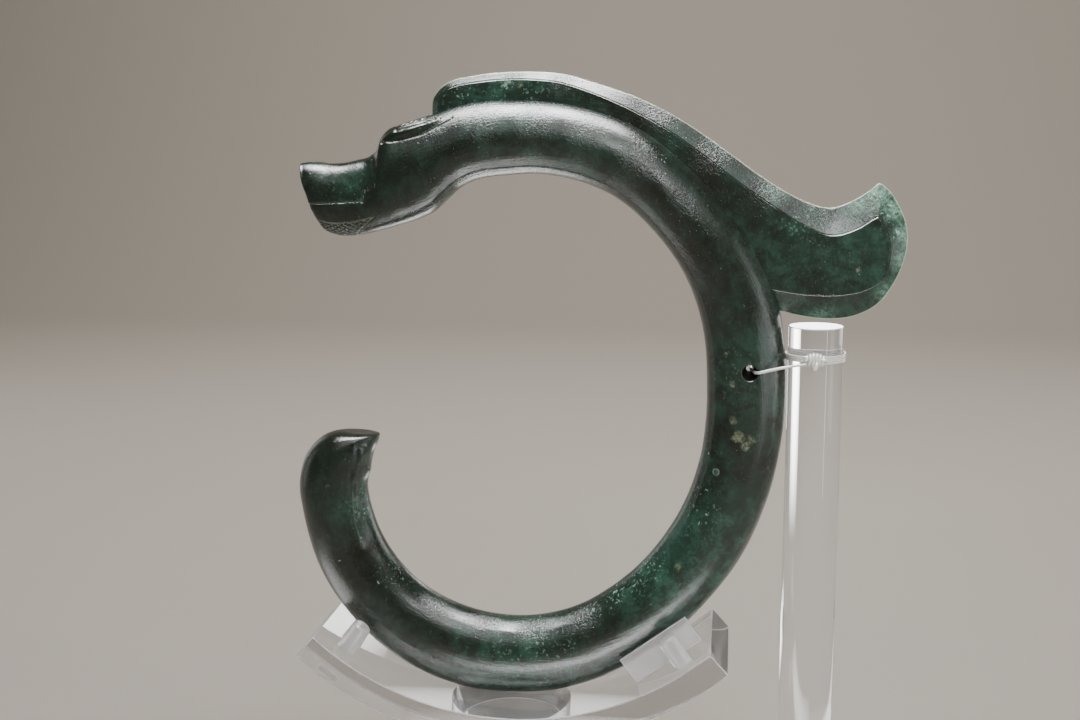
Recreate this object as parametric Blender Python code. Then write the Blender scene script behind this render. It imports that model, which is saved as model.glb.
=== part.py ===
"""A C-shaped jade dragon on the clear stand that holds it up.

The carving is one stone: a round-bodied C with a head at its upper end, a blunt pointed
tail and a long flat mane along its back. The stand is a curved saddle on a round pillar,
with four pegs and a spacer plate, a rod tied to the carving by a thread, and a base plate.

X runs right along the C, Y away from the viewer and Z up. The origin is the middle of the
base plate's underside. Lengths are metres unless a name says otherwise.
"""

import math

import bmesh
import bpy
from mathutils import Matrix, Vector

# Driving dimensions of the carving
DRAGON_HEIGHT = 0.260
HOLE_MOUTH_D = 0.0076
HOLE_NECK_D = 0.0030
HOLE_NECK_LENGTH = 0.0032

# Driving dimensions of the stand
FIT_GAP = 0.0003
BASE_PAST_ROD = 0.0140
BASE_PAST_PILLAR = 0.0330
BASE_THICK = 0.010
BASE_CORNER_R = 0.006
BASE_EDGE_CHAMFER = 0.0008
PILLAR_HEIGHT = 0.0305
PILLAR_D = 0.054
SADDLE_WALL = 0.0112
SADDLE_PAST_PEGS = 0.0080
SADDLE_HALF_ANGLE = math.radians(42.0)
PEG_D = 0.0080
PEG_HEIGHT = 0.0130
PEG_ANGLE = math.radians(35.4)
PEG_ROUND = 0.0014
SPACER_LENGTH = 0.0330
SPACER_HEIGHT = 0.0118
SPACER_THICK = 0.0018
SPACER_ANGLE = math.radians(32.6)
SPACER_LEAN = math.radians(4.0)
SPACER_CHAMFER = 0.0003
ROD_D = 0.0220
ROD_BELOW_MANE = 0.0028
THREAD_D = 0.0013
THREAD_RISE = 0.0056
THREAD_STRAIGHT = 0.68
KNOT_LENGTH = 0.0085
KNOT_HEIGHT = 0.0042
KNOT_THICK = 0.0030

# The carving's form, in millimetres of a carving 260 mm high, from the middle of its C.
# Every length below is multiplied by STONE, so the whole form follows the height.
STONE = DRAGON_HEIGHT / 260.0
BODY_HALF_DEPTH = 13.0

# Head sections from the nose to the neck: top point, lower point, half depth, squareness.
HEAD = (
    ((-98.4, 98.9), (-90.6, 75.0), 7.6, 2.3),
    ((-94.5, 99.5), (-87.8, 71.6), 8.4, 2.4),
    ((-89.5, 99.5), (-83.6, 69.8), 8.9, 2.4),
    ((-81.1, 99.1), (-76.5, 69.3), 9.4, 2.4),
    ((-73.5, 100.6), (-70.2, 70.3), 10.0, 2.4),
    ((-68.6, 102.0), (-66.2, 71.2), 10.6, 2.4),
    ((-65.3, 104.8), (-63.0, 72.1), 11.1, 2.4),
    ((-63.5, 109.6), (-60.6, 72.7), 11.6, 2.4),
    ((-60.4, 113.0), (-57.4, 73.7), 12.1, 2.4),
    ((-55.0, 115.0), (-53.0, 75.0), 12.4, 2.3),
    ((-48.0, 117.2), (-47.4, 77.0), 12.7, 2.2),
    ((-41.0, 119.6), (-41.8, 79.8), 12.9, 2.1),
    ((-34.6, 122.0), (-36.4, 84.6), 13.0, 2.0),
    ((-28.6, 123.5), (-31.2, 89.2), 13.0, 2.0),
    ((-22.5, 124.4), (-24.6, 92.5), 13.0, 2.0),
)

# Body sections round the C: angle in degrees, centre radius, half width.
BODY = (
    (96.0, 110.4, 15.2),
    (84.0, 109.3, 14.8),
    (70.0, 106.4, 14.6),
    (55.0, 100.5, 14.5),
    (40.0, 96.0, 15.3),
    (25.0, 91.4, 16.1),
    (10.0, 87.0, 16.1),
    (-4.0, 85.6, 15.7),
    (-20.0, 86.6, 15.6),
    (-35.0, 89.2, 15.8),
    (-50.0, 93.0, 15.8),
    (-65.0, 98.4, 16.1),
    (-80.0, 104.6, 16.5),
    (-95.0, 108.6, 16.6),
    (-110.0, 110.5, 16.9),
    (-125.0, 108.8, 16.0),
    (-140.0, 103.6, 15.8),
    (-155.0, 95.0, 15.9),
)

# Tail sections up to the slanting end: outer point, inner point, half depth.
TAIL = (
    ((-101.7, -38.5), (-70.5, -29.6), 12.6),
    ((-100.9, -30.6), (-69.9, -26.2), 12.2),
    ((-98.4, -23.2), (-68.9, -22.2), 11.2),
    ((-94.2, -17.8), (-67.8, -18.4), 9.4),
    ((-89.2, -14.3), (-66.9, -14.9), 6.6),
    ((-84.0, -12.7), (-66.7, -13.9), 3.4),
)

# The mane's outline from its front end round the tip to its root: sharp edge, bevel ridge.
MANE = (
    ((-42.4, 112.0), (-39.2, 112.0)),
    ((-42.9, 120.2), (-39.8, 120.2)),
    ((-42.1, 125.6), (-38.6, 125.4)),
    ((-39.0, 129.7), (-36.0, 128.6)),
    ((-35.0, 132.1), (-32.6, 130.0)),
    ((-25.6, 134.1), (-25.0, 131.4)),
    ((-14.8, 135.4), (-14.6, 132.5)),
    ((-3.9, 135.7), (-3.9, 132.7)),
    ((9.0, 135.0), (8.4, 131.6)),
    ((25.5, 130.6), (23.8, 126.9)),
    ((41.5, 125.0), (38.6, 120.4)),
    ((57.5, 117.0), (53.6, 112.2)),
    ((73.5, 106.4), (68.8, 101.6)),
    ((89.4, 95.0), (84.4, 90.0)),
    ((101.4, 87.6), (96.8, 81.8)),
    ((110.0, 83.7), (107.0, 75.6)),
    ((118.4, 82.3), (118.0, 71.6)),
    ((127.2, 85.8), (128.4, 74.6)),
    ((133.0, 89.6), (134.0, 78.2)),
    ((136.1, 92.0), (135.8, 79.0)),
    ((139.6, 89.6), (136.8, 77.4)),
    ((143.8, 83.6), (138.8, 74.2)),
    ((147.0, 76.0), (140.4, 70.0)),
    ((147.8, 68.6), (141.0, 65.4)),
    ((146.3, 60.3), (140.2, 59.2)),
    ((142.6, 51.6), (137.0, 53.2)),
    ((136.8, 43.9), (131.2, 49.8)),
    ((127.8, 39.1), (124.6, 48.2)),
    ((117.6, 37.8), (116.8, 47.6)),
    ((107.0, 38.8), (107.0, 48.0)),
    ((98.5, 40.6), (99.0, 49.2)),
    ((88.0, 42.0), (90.0, 51.0)),
)
MANE_ROOT = ((78.0, 60.0), (62.0, 84.0), (40.0, 100.0), (12.0, 108.0), (-18.0, 109.0))
MANE_HALF_THICK = 3.6
MANE_HALF_EDGE = 0.55

# Carved details of the head
EYE_FRONT = (-62.8, 108.2)
EYE_BACK = (-33.4, 118.6)
EYE_OUT_FRONT = 7.4
EYE_OUT_BACK = 9.4
EYE_RADIUS = 3.9
EYE_SKEW = 0.75
EYE_BLUNT = 0.8
MOUTH_START = (-99.6, 82.5)
MOUTH_END = (-70.2, 83.9)
MOUTH_OPEN = 0.9
MOUTH_CUT = 1.3
MOUTH_NOSE_CUT = 3.0
SNOUT_HALF_FRONT = 7.6
SNOUT_HALF_BACK = 9.6
MOUTH_PIT_START = 8.3
MOUTH_PIT_D = (1.3, 4.2)
NOSTRIL_OUT = 3.3
NOSTRIL_HEIGHT = 92.6
NOSTRIL_X = (-100.4, -93.8)
NOSTRIL_D = (3.2, 2.2)
HOLE_AT = (87.1, 17.2)
HOLE_CLEAR = 1.0

# The saddle's axis, from the middle of the C
SADDLE_AXIS = (-8.0, -3.7)

# How finely round and flowing forms are divided
RING_SIDES = 24
RING_STEP_HEAD = 2.4
RING_STEP_BODY = 6.2
MANE_PARTS = 2
OUTLINE_PARTS = 6
EYE_TURNS = 12
PIT_SIDES = 12
PEG_SIDES = 16
HOLE_SIDES = 24
ROD_SIDES = 40
PILLAR_SIDES = 48
SADDLE_STEPS = 48
CLEARANCE_SIDES = 240
CORNER_SEGMENTS = 5
WRAP_STEPS = 9
THREAD_STEP = 3.0 * THREAD_D
CLOSE = 1e-6

JADE = (0.010, 0.036, 0.022, 1.0)
CLEAR = (0.90, 0.92, 0.93, 1.0)


def clear_scene():
    """Remove every object that the file opened with."""
    for obj in list(bpy.data.objects):
        bpy.data.objects.remove(obj, do_unlink=True)


def principled(name, colour, roughness, alpha=1.0):
    """Make a material with plain values on its Principled shader."""
    material = bpy.data.materials.new(name)
    material.use_nodes = True
    shader = material.node_tree.nodes["Principled BSDF"]
    shader.inputs["Base Color"].default_value = colour
    shader.inputs["Roughness"].default_value = roughness
    shader.inputs["Metallic"].default_value = 0.0
    shader.inputs["Alpha"].default_value = alpha
    material.diffuse_color = (*colour[:3], alpha)
    return material


def finish_object(name, bm, material, place=(0.0, 0.0, 0.0), sharp_deg=35.0):
    """Turn a bmesh into a smooth-shaded object whose edges past sharp_deg stay sharp."""
    bmesh.ops.recalc_face_normals(bm, faces=bm.faces)
    mesh = bpy.data.meshes.new(name)
    bm.to_mesh(mesh)
    bm.free()
    mesh.shade_smooth()
    mesh.set_sharp_from_angle(angle=math.radians(sharp_deg))
    mesh.materials.append(material)
    obj = bpy.data.objects.new(name, mesh)
    obj.location = place
    bpy.context.scene.collection.objects.link(obj)
    return obj


def as_tool(obj):
    """Keep an object only as the operand of a Boolean."""
    obj.hide_render = True
    obj.display_type = "WIRE"
    return obj


def boolean(target, tool, operation):
    """Join or cut the target with a tool object."""
    modifier = target.modifiers.new(f"{operation.lower()} {tool.name}", "BOOLEAN")
    modifier.operation = operation
    modifier.solver = "EXACT"
    modifier.object = as_tool(tool)


def spline_rows(rows, steps):
    """Pass a smooth curve through rows of numbers, with steps[i] parts from row i to i + 1."""
    out = []
    last = len(rows) - 1
    for i in range(last):
        before, start, end, after = rows[max(i - 1, 0)], rows[i], rows[i + 1], rows[min(i + 2, last)]
        for k in range(steps[i]):
            t = k / steps[i]
            out.append(tuple(catmull_rom(p, a, b, n, t) for p, a, b, n in zip(before, start, end, after)))
    out.append(tuple(rows[-1]))
    return out


def catmull_rom(before, start, end, after, t):
    """Return the value at t between start and end on a curve with its neighbours' slopes."""
    leave, arrive = (end - before) / 2.0, (after - start) / 2.0
    t2, t3 = t * t, t * t * t
    return ((2 * t3 - 3 * t2 + 1) * start + (t3 - 2 * t2 + t) * leave
            + (3 * t2 - 2 * t3) * end + (t3 - t2) * arrive)


def body_rows():
    """Return the section rows from nose to tail: outer and inner point, half depth, squareness."""
    rows = [(*top, *low, depth, square) for top, low, depth, square in HEAD]
    for angle, radius, half in BODY:
        c, s = math.cos(math.radians(angle)), math.sin(math.radians(angle))
        far, near = radius + half, radius - half
        rows.append((c * far, s * far, c * near, s * near, BODY_HALF_DEPTH, 2.0))
    rows += [(*outer, *inner, depth, 2.0) for outer, inner, depth in TAIL]
    return rows


def row_middle(row):
    """Return the middle of a section in the plane of the C."""
    return Vector(((row[0] + row[2]) / 2.0, (row[1] + row[3]) / 2.0))


def section_steps(rows):
    """Choose how many parts each stretch between two sections gets, finer at head and tail."""
    steps = []
    first_body, first_tail = len(HEAD), len(HEAD) + len(BODY)
    for i in range(len(rows) - 1):
        step = RING_STEP_BODY if first_body <= i < first_tail else RING_STEP_HEAD
        length = (row_middle(rows[i + 1]) - row_middle(rows[i])).length
        steps.append(max(1, round(length / step)))
    return steps


def signed_power(value, power):
    """Raise the size of a number to a power and keep its sign."""
    return math.copysign(abs(value) ** power, value)


def ring_point(row, turn):
    """Return the point of a section at a turn, where 0 is outermost and a half is innermost."""
    ox, oz, ix, iz, depth, square = row
    out = signed_power(math.cos(math.tau * turn), 2.0 / square)
    side = signed_power(math.sin(math.tau * turn), 2.0 / square)
    x = (ox + ix) / 2.0 + (ox - ix) / 2.0 * out
    z = (oz + iz) / 2.0 + (oz - iz) / 2.0 * out
    return Vector((x, -depth * side, z)) * STONE


def add_ring(bm, row):
    """Add one closed section as a ring of edges."""
    verts = bmesh.ops.create_circle(bm, segments=RING_SIDES, radius=1.0)["verts"]
    for i, vert in enumerate(verts):
        vert.co = ring_point(row, i / RING_SIDES)
    return list({edge for vert in verts for edge in vert.link_edges})


def carve_body(material):
    """Loft the head, body and tail through their sections."""
    bm = bmesh.new()
    rows = body_rows()
    rings = [add_ring(bm, row) for row in spline_rows(rows, section_steps(rows))]
    for ring, following in zip(rings, rings[1:]):
        bmesh.ops.bridge_loops(bm, edges=ring + following)
    bmesh.ops.holes_fill(bm, edges=bm.edges, sides=RING_SIDES)
    return finish_object("jade_dragon", bm, material, carving_place())


def carve_mane(material):
    """Make the flat mane: a sharp edge all round, a bevel up to a ridge and a flat within."""
    rows = [(*edge, *ridge) for edge, ridge in MANE]
    smooth = spline_rows(rows, [MANE_PARTS] * (len(rows) - 1))
    root = [(x, z, x, z) for x, z in MANE_ROOT]
    outline = smooth + root
    bm = bmesh.new()
    loops = []
    for side in (-1.0, 1.0):
        for at, half in ((2, MANE_HALF_THICK), (0, MANE_HALF_EDGE)):
            points = [Vector((row[at], side * half, row[at + 1])) * STONE for row in outline]
            loops.append([bm.verts.new(point) for point in points])
    front_ridge, front_edge, back_ridge, back_edge = loops
    for near, far in ((front_ridge, front_edge), (front_edge, back_edge), (back_edge, back_ridge)):
        edges = close_loop(bm, near) + close_loop(bm, far)
        bmesh.ops.bridge_loops(bm, edges=edges)
    for ridge in (front_ridge, back_ridge):
        bmesh.ops.contextual_create(bm, geom=close_loop(bm, ridge))
    return finish_object("mane_form", bm, material, carving_place(), sharp_deg=20.0)


def close_loop(bm, verts):
    """Return the edges round a loop of vertices, made where they are missing."""
    pairs = zip(verts, verts[1:] + verts[:1])
    return [bm.edges.get(pair) or bm.edges.new(pair) for pair in pairs]


def turned(name, profile, start, end, material, sides):
    """Spin a profile of radius and height about the line from start to end."""
    bm = bmesh.new()
    points = [bm.verts.new((radius, 0.0, height)) for radius, height in profile]
    for below, above in zip(points, points[1:]):
        bm.edges.new((below, above))
    bmesh.ops.spin(bm, geom=bm.verts[:] + bm.edges[:], axis=(0, 0, 1), cent=(0, 0, 0),
                   angle=math.tau, steps=sides, use_merge=True)
    bmesh.ops.remove_doubles(bm, verts=bm.verts, dist=CLOSE)
    turn = Vector((0, 0, 1)).rotation_difference(end - start).to_matrix().to_4x4()
    bmesh.ops.transform(bm, matrix=Matrix.Translation(start) @ turn, verts=bm.verts)
    return finish_object(name, bm, material, carving_place())


def carve_eyes(dragon, material):
    """Raise one long almond eye on each side of the brow."""
    for side, name in ((-1.0, "eye_form_front"), (1.0, "eye_form_back")):
        start = Vector((EYE_FRONT[0], side * EYE_OUT_FRONT, EYE_FRONT[1])) * STONE
        end = Vector((EYE_BACK[0], side * EYE_OUT_BACK, EYE_BACK[1])) * STONE
        shares = [i / EYE_TURNS for i in range(EYE_TURNS + 1)]
        swells = [math.sin(math.pi * share ** EYE_SKEW) ** EYE_BLUNT for share in shares]
        profile = [(EYE_RADIUS * STONE * swell, (end - start).length * share)
                   for share, swell in zip(shares, swells)]
        boolean(dragon, turned(name, profile, start, end, material, EYE_TURNS), "UNION")


def cone(name, start, end, start_d, end_d, material, sides):
    """Make a round bar or cone between two points."""
    axis = end - start
    bm = bmesh.new()
    bmesh.ops.create_cone(bm, cap_ends=True, segments=sides, radius1=start_d / 2.0,
                          radius2=end_d / 2.0, depth=axis.length)
    turn = Vector((0, 0, 1)).rotation_difference(axis).to_matrix().to_4x4()
    bmesh.ops.transform(bm, matrix=Matrix.Translation((start + end) / 2.0) @ turn, verts=bm.verts)
    return finish_object(name, bm, material)


def cut_mouth(dragon, material):
    """Cut the mouth line round the snout, with a drilled pit at each corner."""
    start, end = Vector(MOUTH_START), Vector(MOUTH_END)
    length = (end - start).length
    wide = BODY_HALF_DEPTH
    front, back = SNOUT_HALF_FRONT - MOUTH_CUT, SNOUT_HALF_BACK - MOUTH_CUT
    near_side = ((-MOUTH_NOSE_CUT, -wide), (length, -wide), (length, -back), (MOUTH_NOSE_CUT, -front))
    outline = near_side + tuple((x, -y) for x, y in reversed(near_side))
    bm = bmesh.new()
    verts = [bm.verts.new(Vector((x, y, -MOUTH_OPEN / 2.0)) * STONE) for x, y in outline]
    bmesh.ops.contextual_create(bm, geom=close_loop(bm, verts))
    lifted = bmesh.ops.extrude_face_region(bm, geom=bm.faces[:])["geom"]
    top = [item for item in lifted if isinstance(item, bmesh.types.BMVert)]
    bmesh.ops.translate(bm, vec=(0.0, 0.0, MOUTH_OPEN * STONE), verts=top)
    slope = math.atan2(end.y - start.y, end.x - start.x)
    turn = Matrix.Rotation(-slope, 4, "Y")
    place = Matrix.Translation(Vector((start.x, 0.0, start.y)) * STONE)
    bmesh.ops.transform(bm, matrix=place @ turn, verts=bm.verts)
    bmesh.ops.triangulate(bm, faces=bm.faces)
    boolean(dragon, finish_object("mouth_cut", bm, material, carving_place()), "DIFFERENCE")
    for side, name in ((-1.0, "mouth_pit_front"), (1.0, "mouth_pit_back")):
        inner = carving_point(end.x, side * MOUTH_PIT_START, end.y)
        outer = carving_point(end.x, side * wide, end.y)
        tip_d, wide_d = (d * STONE for d in MOUTH_PIT_D)
        boolean(dragon, cone(name, inner, outer, tip_d, wide_d, material, PIT_SIDES), "DIFFERENCE")


def cut_nostrils(dragon, material):
    """Drill two round nostrils into the flat end of the nose."""
    for side, name in ((-1.0, "nostril_front"), (1.0, "nostril_back")):
        mouth, inner = (carving_point(x, side * NOSTRIL_OUT, NOSTRIL_HEIGHT) for x in NOSTRIL_X)
        mouth_d, inner_d = (d * STONE for d in NOSTRIL_D)
        boolean(dragon, cone(name, mouth, inner, mouth_d, inner_d, material, PIT_SIDES), "DIFFERENCE")


def cut_hole(dragon, material):
    """Drill the hanging hole from both sides to a narrow neck in the middle."""
    reach = (BODY_HALF_DEPTH + HOLE_CLEAR) * STONE
    neck_half, mouth, neck = HOLE_NECK_LENGTH / 2.0, HOLE_MOUTH_D / 2.0, HOLE_NECK_D / 2.0
    profile = ((0.0, -reach), (mouth, -reach), (neck, -neck_half), (neck, neck_half), (mouth, reach),
               (0.0, reach))
    middle = Vector((HOLE_AT[0], 0.0, HOLE_AT[1])) * STONE
    drill = turned("hole_form", profile, middle, middle + Vector((0.0, reach, 0.0)), material, HOLE_SIDES)
    boolean(dragon, drill, "DIFFERENCE")


def seat_radius():
    """Return the saddle's inner radius, just clear of the body that lies in it."""
    axis = Vector(SADDLE_AXIS)
    rows = body_rows()
    outer = [Vector((row[0], row[1])) for row in spline_rows(rows, [OUTLINE_PARTS] * (len(rows) - 1))]
    seated = [(point - axis).length for point in outer if point.y < axis.y]
    return max(seated) * STONE + FIT_GAP


def carving_place():
    """Return where the middle of the C stands above the base plate's underside."""
    axis_height = BASE_THICK + PILLAR_HEIGHT + SADDLE_WALL + seat_radius()
    middle_x = (min(row[0] for row in body_rows()) + max(edge[0] for edge, ridge in MANE)) / 2.0
    return Vector((-middle_x * STONE, 0.0, axis_height - SADDLE_AXIS[1] * STONE))


def carving_point(x, y, z):
    """Return the place of a point given in the carving's own millimetres."""
    return carving_place() + Vector((x, y, z)) * STONE


def saddle_centre():
    """Return the place of the saddle's axis."""
    return carving_point(SADDLE_AXIS[0], 0.0, SADDLE_AXIS[1])


def peg_out():
    """Return how far before or behind the carving's middle plane the pegs stand."""
    return BODY_HALF_DEPTH * STONE + FIT_GAP + PEG_D / 2.0


def saddle_depth():
    """Return the saddle's depth, which holds the pegs and a rim past them."""
    return 2.0 * (peg_out() + PEG_D / 2.0 + SADDLE_PAST_PEGS)


def make_saddle(material):
    """Bend the saddle: a flat section spun about its axis."""
    inner, half = seat_radius(), saddle_depth() / 2.0
    bm = bmesh.new()
    section = [bm.verts.new((0.0, y, -r)) for y, r in
               ((-half, inner), (half, inner), (half, inner + SADDLE_WALL), (-half, inner + SADDLE_WALL))]
    bm.faces.new(section)
    start = Matrix.Rotation(SADDLE_HALF_ANGLE, 3, "Y")
    bmesh.ops.rotate(bm, cent=(0, 0, 0), matrix=start, verts=bm.verts)
    bmesh.ops.spin(bm, geom=bm.verts[:] + bm.edges[:] + bm.faces[:], axis=(0, 1, 0), cent=(0, 0, 0),
                   angle=-2.0 * SADDLE_HALF_ANGLE, steps=SADDLE_STEPS)
    return finish_object("saddle", bm, material, saddle_centre())


def on_saddle(angle, radius, y):
    """Return the place at an angle from straight down and a distance from the saddle's axis."""
    return saddle_centre() + Vector((radius * math.sin(angle), y, -radius * math.cos(angle)))


def make_pegs(material):
    """Stand four round-topped pegs on the saddle, two before and two behind the body."""
    foot = seat_radius() - FIT_GAP - PEG_D * PEG_D / (8.0 * seat_radius())
    out = peg_out()
    for y_side, y_name in ((-1.0, "front"), (1.0, "back")):
        for x_side, x_name in ((-1.0, "left"), (1.0, "right")):
            low = on_saddle(x_side * PEG_ANGLE, foot, y_side * out)
            high = on_saddle(x_side * PEG_ANGLE, foot - PEG_HEIGHT, y_side * out)
            peg = cone(f"peg_{y_name}_{x_name}", low, high, PEG_D, PEG_D, material, PEG_SIDES)
            round_top(peg, high, (low - high).normalized())


def round_top(obj, top, down):
    """Round the rim at the top end of a bar."""
    bm = bmesh.new()
    bm.from_mesh(obj.data)
    rim = [edge for edge in bm.edges if all(abs((v.co - top).dot(down)) < CLOSE for v in edge.verts)]
    bmesh.ops.bevel(bm, geom=rim, offset=PEG_ROUND, offset_type="OFFSET", segments=2, profile=0.5,
                    affect="EDGES", material=-1)
    bm.to_mesh(obj.data)
    bm.free()
    obj.data.shade_smooth()
    obj.data.set_sharp_from_angle(angle=math.radians(35.0))


def box(name, size, material, place, turn=None, bevel=0.0):
    """Make a box about its middle, with small bevels on its edges."""
    bm = bmesh.new()
    bmesh.ops.create_cube(bm, size=1.0)
    bmesh.ops.scale(bm, vec=size, verts=bm.verts)
    if bevel:
        bmesh.ops.bevel(bm, geom=bm.edges[:], offset=bevel, offset_type="OFFSET", segments=1,
                        profile=0.5, affect="EDGES", material=-1)
    if turn:
        bmesh.ops.transform(bm, matrix=turn, verts=bm.verts)
    return finish_object(name, bm, material, place)


def make_spacer(material):
    """Lean the small flat plate between the right front peg and the body."""
    y = -(BODY_HALF_DEPTH * STONE - SPACER_THICK / 2.0)
    radius = seat_radius() - FIT_GAP - SPACER_HEIGHT / 2.0
    radius -= SPACER_LENGTH * SPACER_LENGTH / (8.0 * seat_radius())
    radius -= math.sin(SPACER_LEAN) * SPACER_LENGTH / 2.0
    turn = Matrix.Rotation(-SPACER_ANGLE - SPACER_LEAN, 4, "Y")
    place = on_saddle(SPACER_ANGLE, radius, y)
    size = (SPACER_LENGTH, SPACER_THICK, SPACER_HEIGHT)
    return box("spacer_plate", size, material, place, turn, bevel=SPACER_CHAMFER)


def make_pillar(material):
    """Stand the round pillar under the lowest stretch of the body, its top cut to the saddle."""
    low = BASE_THICK + FIT_GAP
    under = saddle_centre()
    x = carving_point(lowest_body_x(), 0.0, 0.0).x
    foot, head = Vector((x, 0.0, low)), Vector((x, 0.0, under.z - seat_radius()))
    pillar = cone("saddle_pillar", foot, head, PILLAR_D, PILLAR_D, material, PILLAR_SIDES)
    reach = Vector((0.0, PILLAR_D, 0.0))
    cut_d = 2.0 * (seat_radius() + SADDLE_WALL + FIT_GAP)
    clearance = cone("saddle_clearance", under - reach, under + reach, cut_d, cut_d, material,
                     CLEARANCE_SIDES)
    boolean(pillar, clearance, "DIFFERENCE")
    return pillar


def lowest_body_x():
    """Return where along X the body comes lowest."""
    rows = body_rows()
    outer = [(row[1], row[0]) for row in spline_rows(rows, [OUTLINE_PARTS] * (len(rows) - 1))]
    return min(outer)[1]


def mane_underside():
    """Return the height of the mane's lowest point in the carving."""
    rows = [(*edge, *ridge) for edge, ridge in MANE]
    return min(row[1] for row in spline_rows(rows, [MANE_PARTS] * (len(rows) - 1)))


def rod_axis_x():
    """Return the rod's place, just clear of the outermost point of the body below the mane."""
    rows = body_rows()
    splined = spline_rows(rows, [OUTLINE_PARTS] * (len(rows) - 1))
    outer = [row[0] for row in splined if row[1] < mane_underside()]
    return carving_point(max(outer), 0.0, 0.0).x + FIT_GAP + ROD_D / 2.0


def make_rod(material):
    """Stand the support rod on the base plate beside the body."""
    top = carving_point(0.0, 0.0, mane_underside()).z - ROD_BELOW_MANE
    x = rod_axis_x()
    foot, head = Vector((x, 0.0, BASE_THICK + FIT_GAP)), Vector((x, 0.0, top))
    return cone("support_rod", foot, head, ROD_D, ROD_D, material, ROD_SIDES)


def make_base(material):
    """Make the flat base plate with round corners, wide enough for the rod and the pillar."""
    length = 2.0 * (rod_axis_x() + ROD_D / 2.0 + BASE_PAST_ROD)
    depth = 2.0 * (PILLAR_D / 2.0 + BASE_PAST_PILLAR)
    bm = bmesh.new()
    bmesh.ops.create_cube(bm, size=1.0)
    bmesh.ops.scale(bm, vec=(length, depth, BASE_THICK), verts=bm.verts)
    corners = [e for e in bm.edges if abs(e.verts[0].co.z - e.verts[1].co.z) > BASE_THICK / 2.0]
    bmesh.ops.bevel(bm, geom=corners, offset=BASE_CORNER_R, offset_type="OFFSET", segments=CORNER_SEGMENTS,
                    profile=0.5, affect="EDGES", material=-1)
    rims = [e for e in bm.edges if abs(e.verts[0].co.z - e.verts[1].co.z) < CLOSE]
    bmesh.ops.bevel(bm, geom=rims, offset=BASE_EDGE_CHAMFER, offset_type="OFFSET", segments=1,
                    profile=0.5, affect="EDGES", material=-1)
    return finish_object("base_plate", bm, material, Vector((0, 0, BASE_THICK / 2.0)))


def thread_route():
    """Return the closed route of the thread: through the hole and round the rod."""
    hole = carving_point(HOLE_AT[0], 0.0, HOLE_AT[1])
    rod = Vector((rod_axis_x(), 0.0, hole.z + THREAD_RISE))
    wrap = ROD_D / 2.0 + FIT_GAP + THREAD_D / 2.0
    face, lip = BODY_HALF_DEPTH * STONE, HOLE_MOUTH_D / 2.0
    straight, in_mouth, over_lip, past_lip = (
        Vector((0.0, -THREAD_STRAIGHT * face, 0.0)), Vector((0.08 * lip, -face + 0.7 * THREAD_D, 0.0)),
        Vector((0.42 * lip, -face - 0.4 * THREAD_D, 0.04 * THREAD_RISE)),
        Vector((lip + 0.45 * THREAD_D, -face - 0.9 * THREAD_D, 0.13 * THREAD_RISE)))
    front = [hole] + [hole + step for step in (straight, in_mouth, over_lip, past_lip)]
    turns = [math.pi * (i / WRAP_STEPS - 0.5) for i in range(WRAP_STEPS + 1)]
    around = [rod + Vector((wrap * math.cos(a), wrap * math.sin(a), 0.0)) for a in turns]
    back = [Vector((p.x, -p.y, p.z)) for p in reversed(front[1:])]
    return front + around + back


def make_thread(material):
    """Run the tie thread along its route as one closed tube, with its knot before the rod."""
    route = thread_route()
    rows = [tuple(p) for p in route] + [tuple(route[0])]
    lengths = [(Vector(b) - Vector(a)).length for a, b in zip(rows, rows[1:])]
    steps = [max(1, round(length / THREAD_STEP)) for length in lengths]
    points = spline_rows(rows, steps)[:-1]
    curve = bpy.data.curves.new("thread_run", "CURVE")
    curve.dimensions = "3D"
    curve.bevel_depth = THREAD_D / 2.0
    curve.bevel_resolution = 2
    line = curve.splines.new("POLY")
    line.points.add(len(points) - 1)
    for point, place in zip(line.points, points):
        point.co = (*place, 1.0)
    line.use_cyclic_u = True
    run = as_tool(bpy.data.objects.new("thread_run", curve))
    bpy.context.scene.collection.objects.link(run)
    bpy.context.view_layer.update()
    seen = run.evaluated_get(bpy.context.evaluated_depsgraph_get())
    bm = bmesh.new()
    bm.from_mesh(bpy.data.meshes.new_from_object(seen))
    thread = finish_object("tie_thread", bm, material)
    boolean(thread, knot(material), "UNION")
    return thread


def knot(material):
    """Make the knot: a flattened lump in front of the rod."""
    hole = carving_point(HOLE_AT[0], 0.0, HOLE_AT[1])
    y = -(ROD_D / 2.0 + FIT_GAP + KNOT_THICK / 2.0)
    bm = bmesh.new()
    bmesh.ops.create_uvsphere(bm, u_segments=12, v_segments=8, radius=0.5)
    bmesh.ops.scale(bm, vec=(KNOT_LENGTH, KNOT_THICK, KNOT_HEIGHT), verts=bm.verts)
    place = Vector((rod_axis_x(), y, hole.z + THREAD_RISE))
    return finish_object("knot_form", bm, material, place)


def make_dragon(material):
    """Carve the whole dragon as one stone."""
    dragon = carve_body(material)
    boolean(dragon, carve_mane(material), "UNION")
    carve_eyes(dragon, material)
    cut_mouth(dragon, material)
    cut_nostrils(dragon, material)
    cut_hole(dragon, material)
    return dragon


def main():
    """Build every piece."""
    clear_scene()
    jade = principled("dark green nephrite", JADE, 0.18)
    clear = principled("clear acrylic", CLEAR, 0.05, alpha=0.35)
    make_dragon(jade)
    make_saddle(clear)
    make_pegs(clear)
    make_spacer(clear)
    make_pillar(clear)
    make_rod(clear)
    make_base(clear)
    make_thread(clear)


main()
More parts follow.
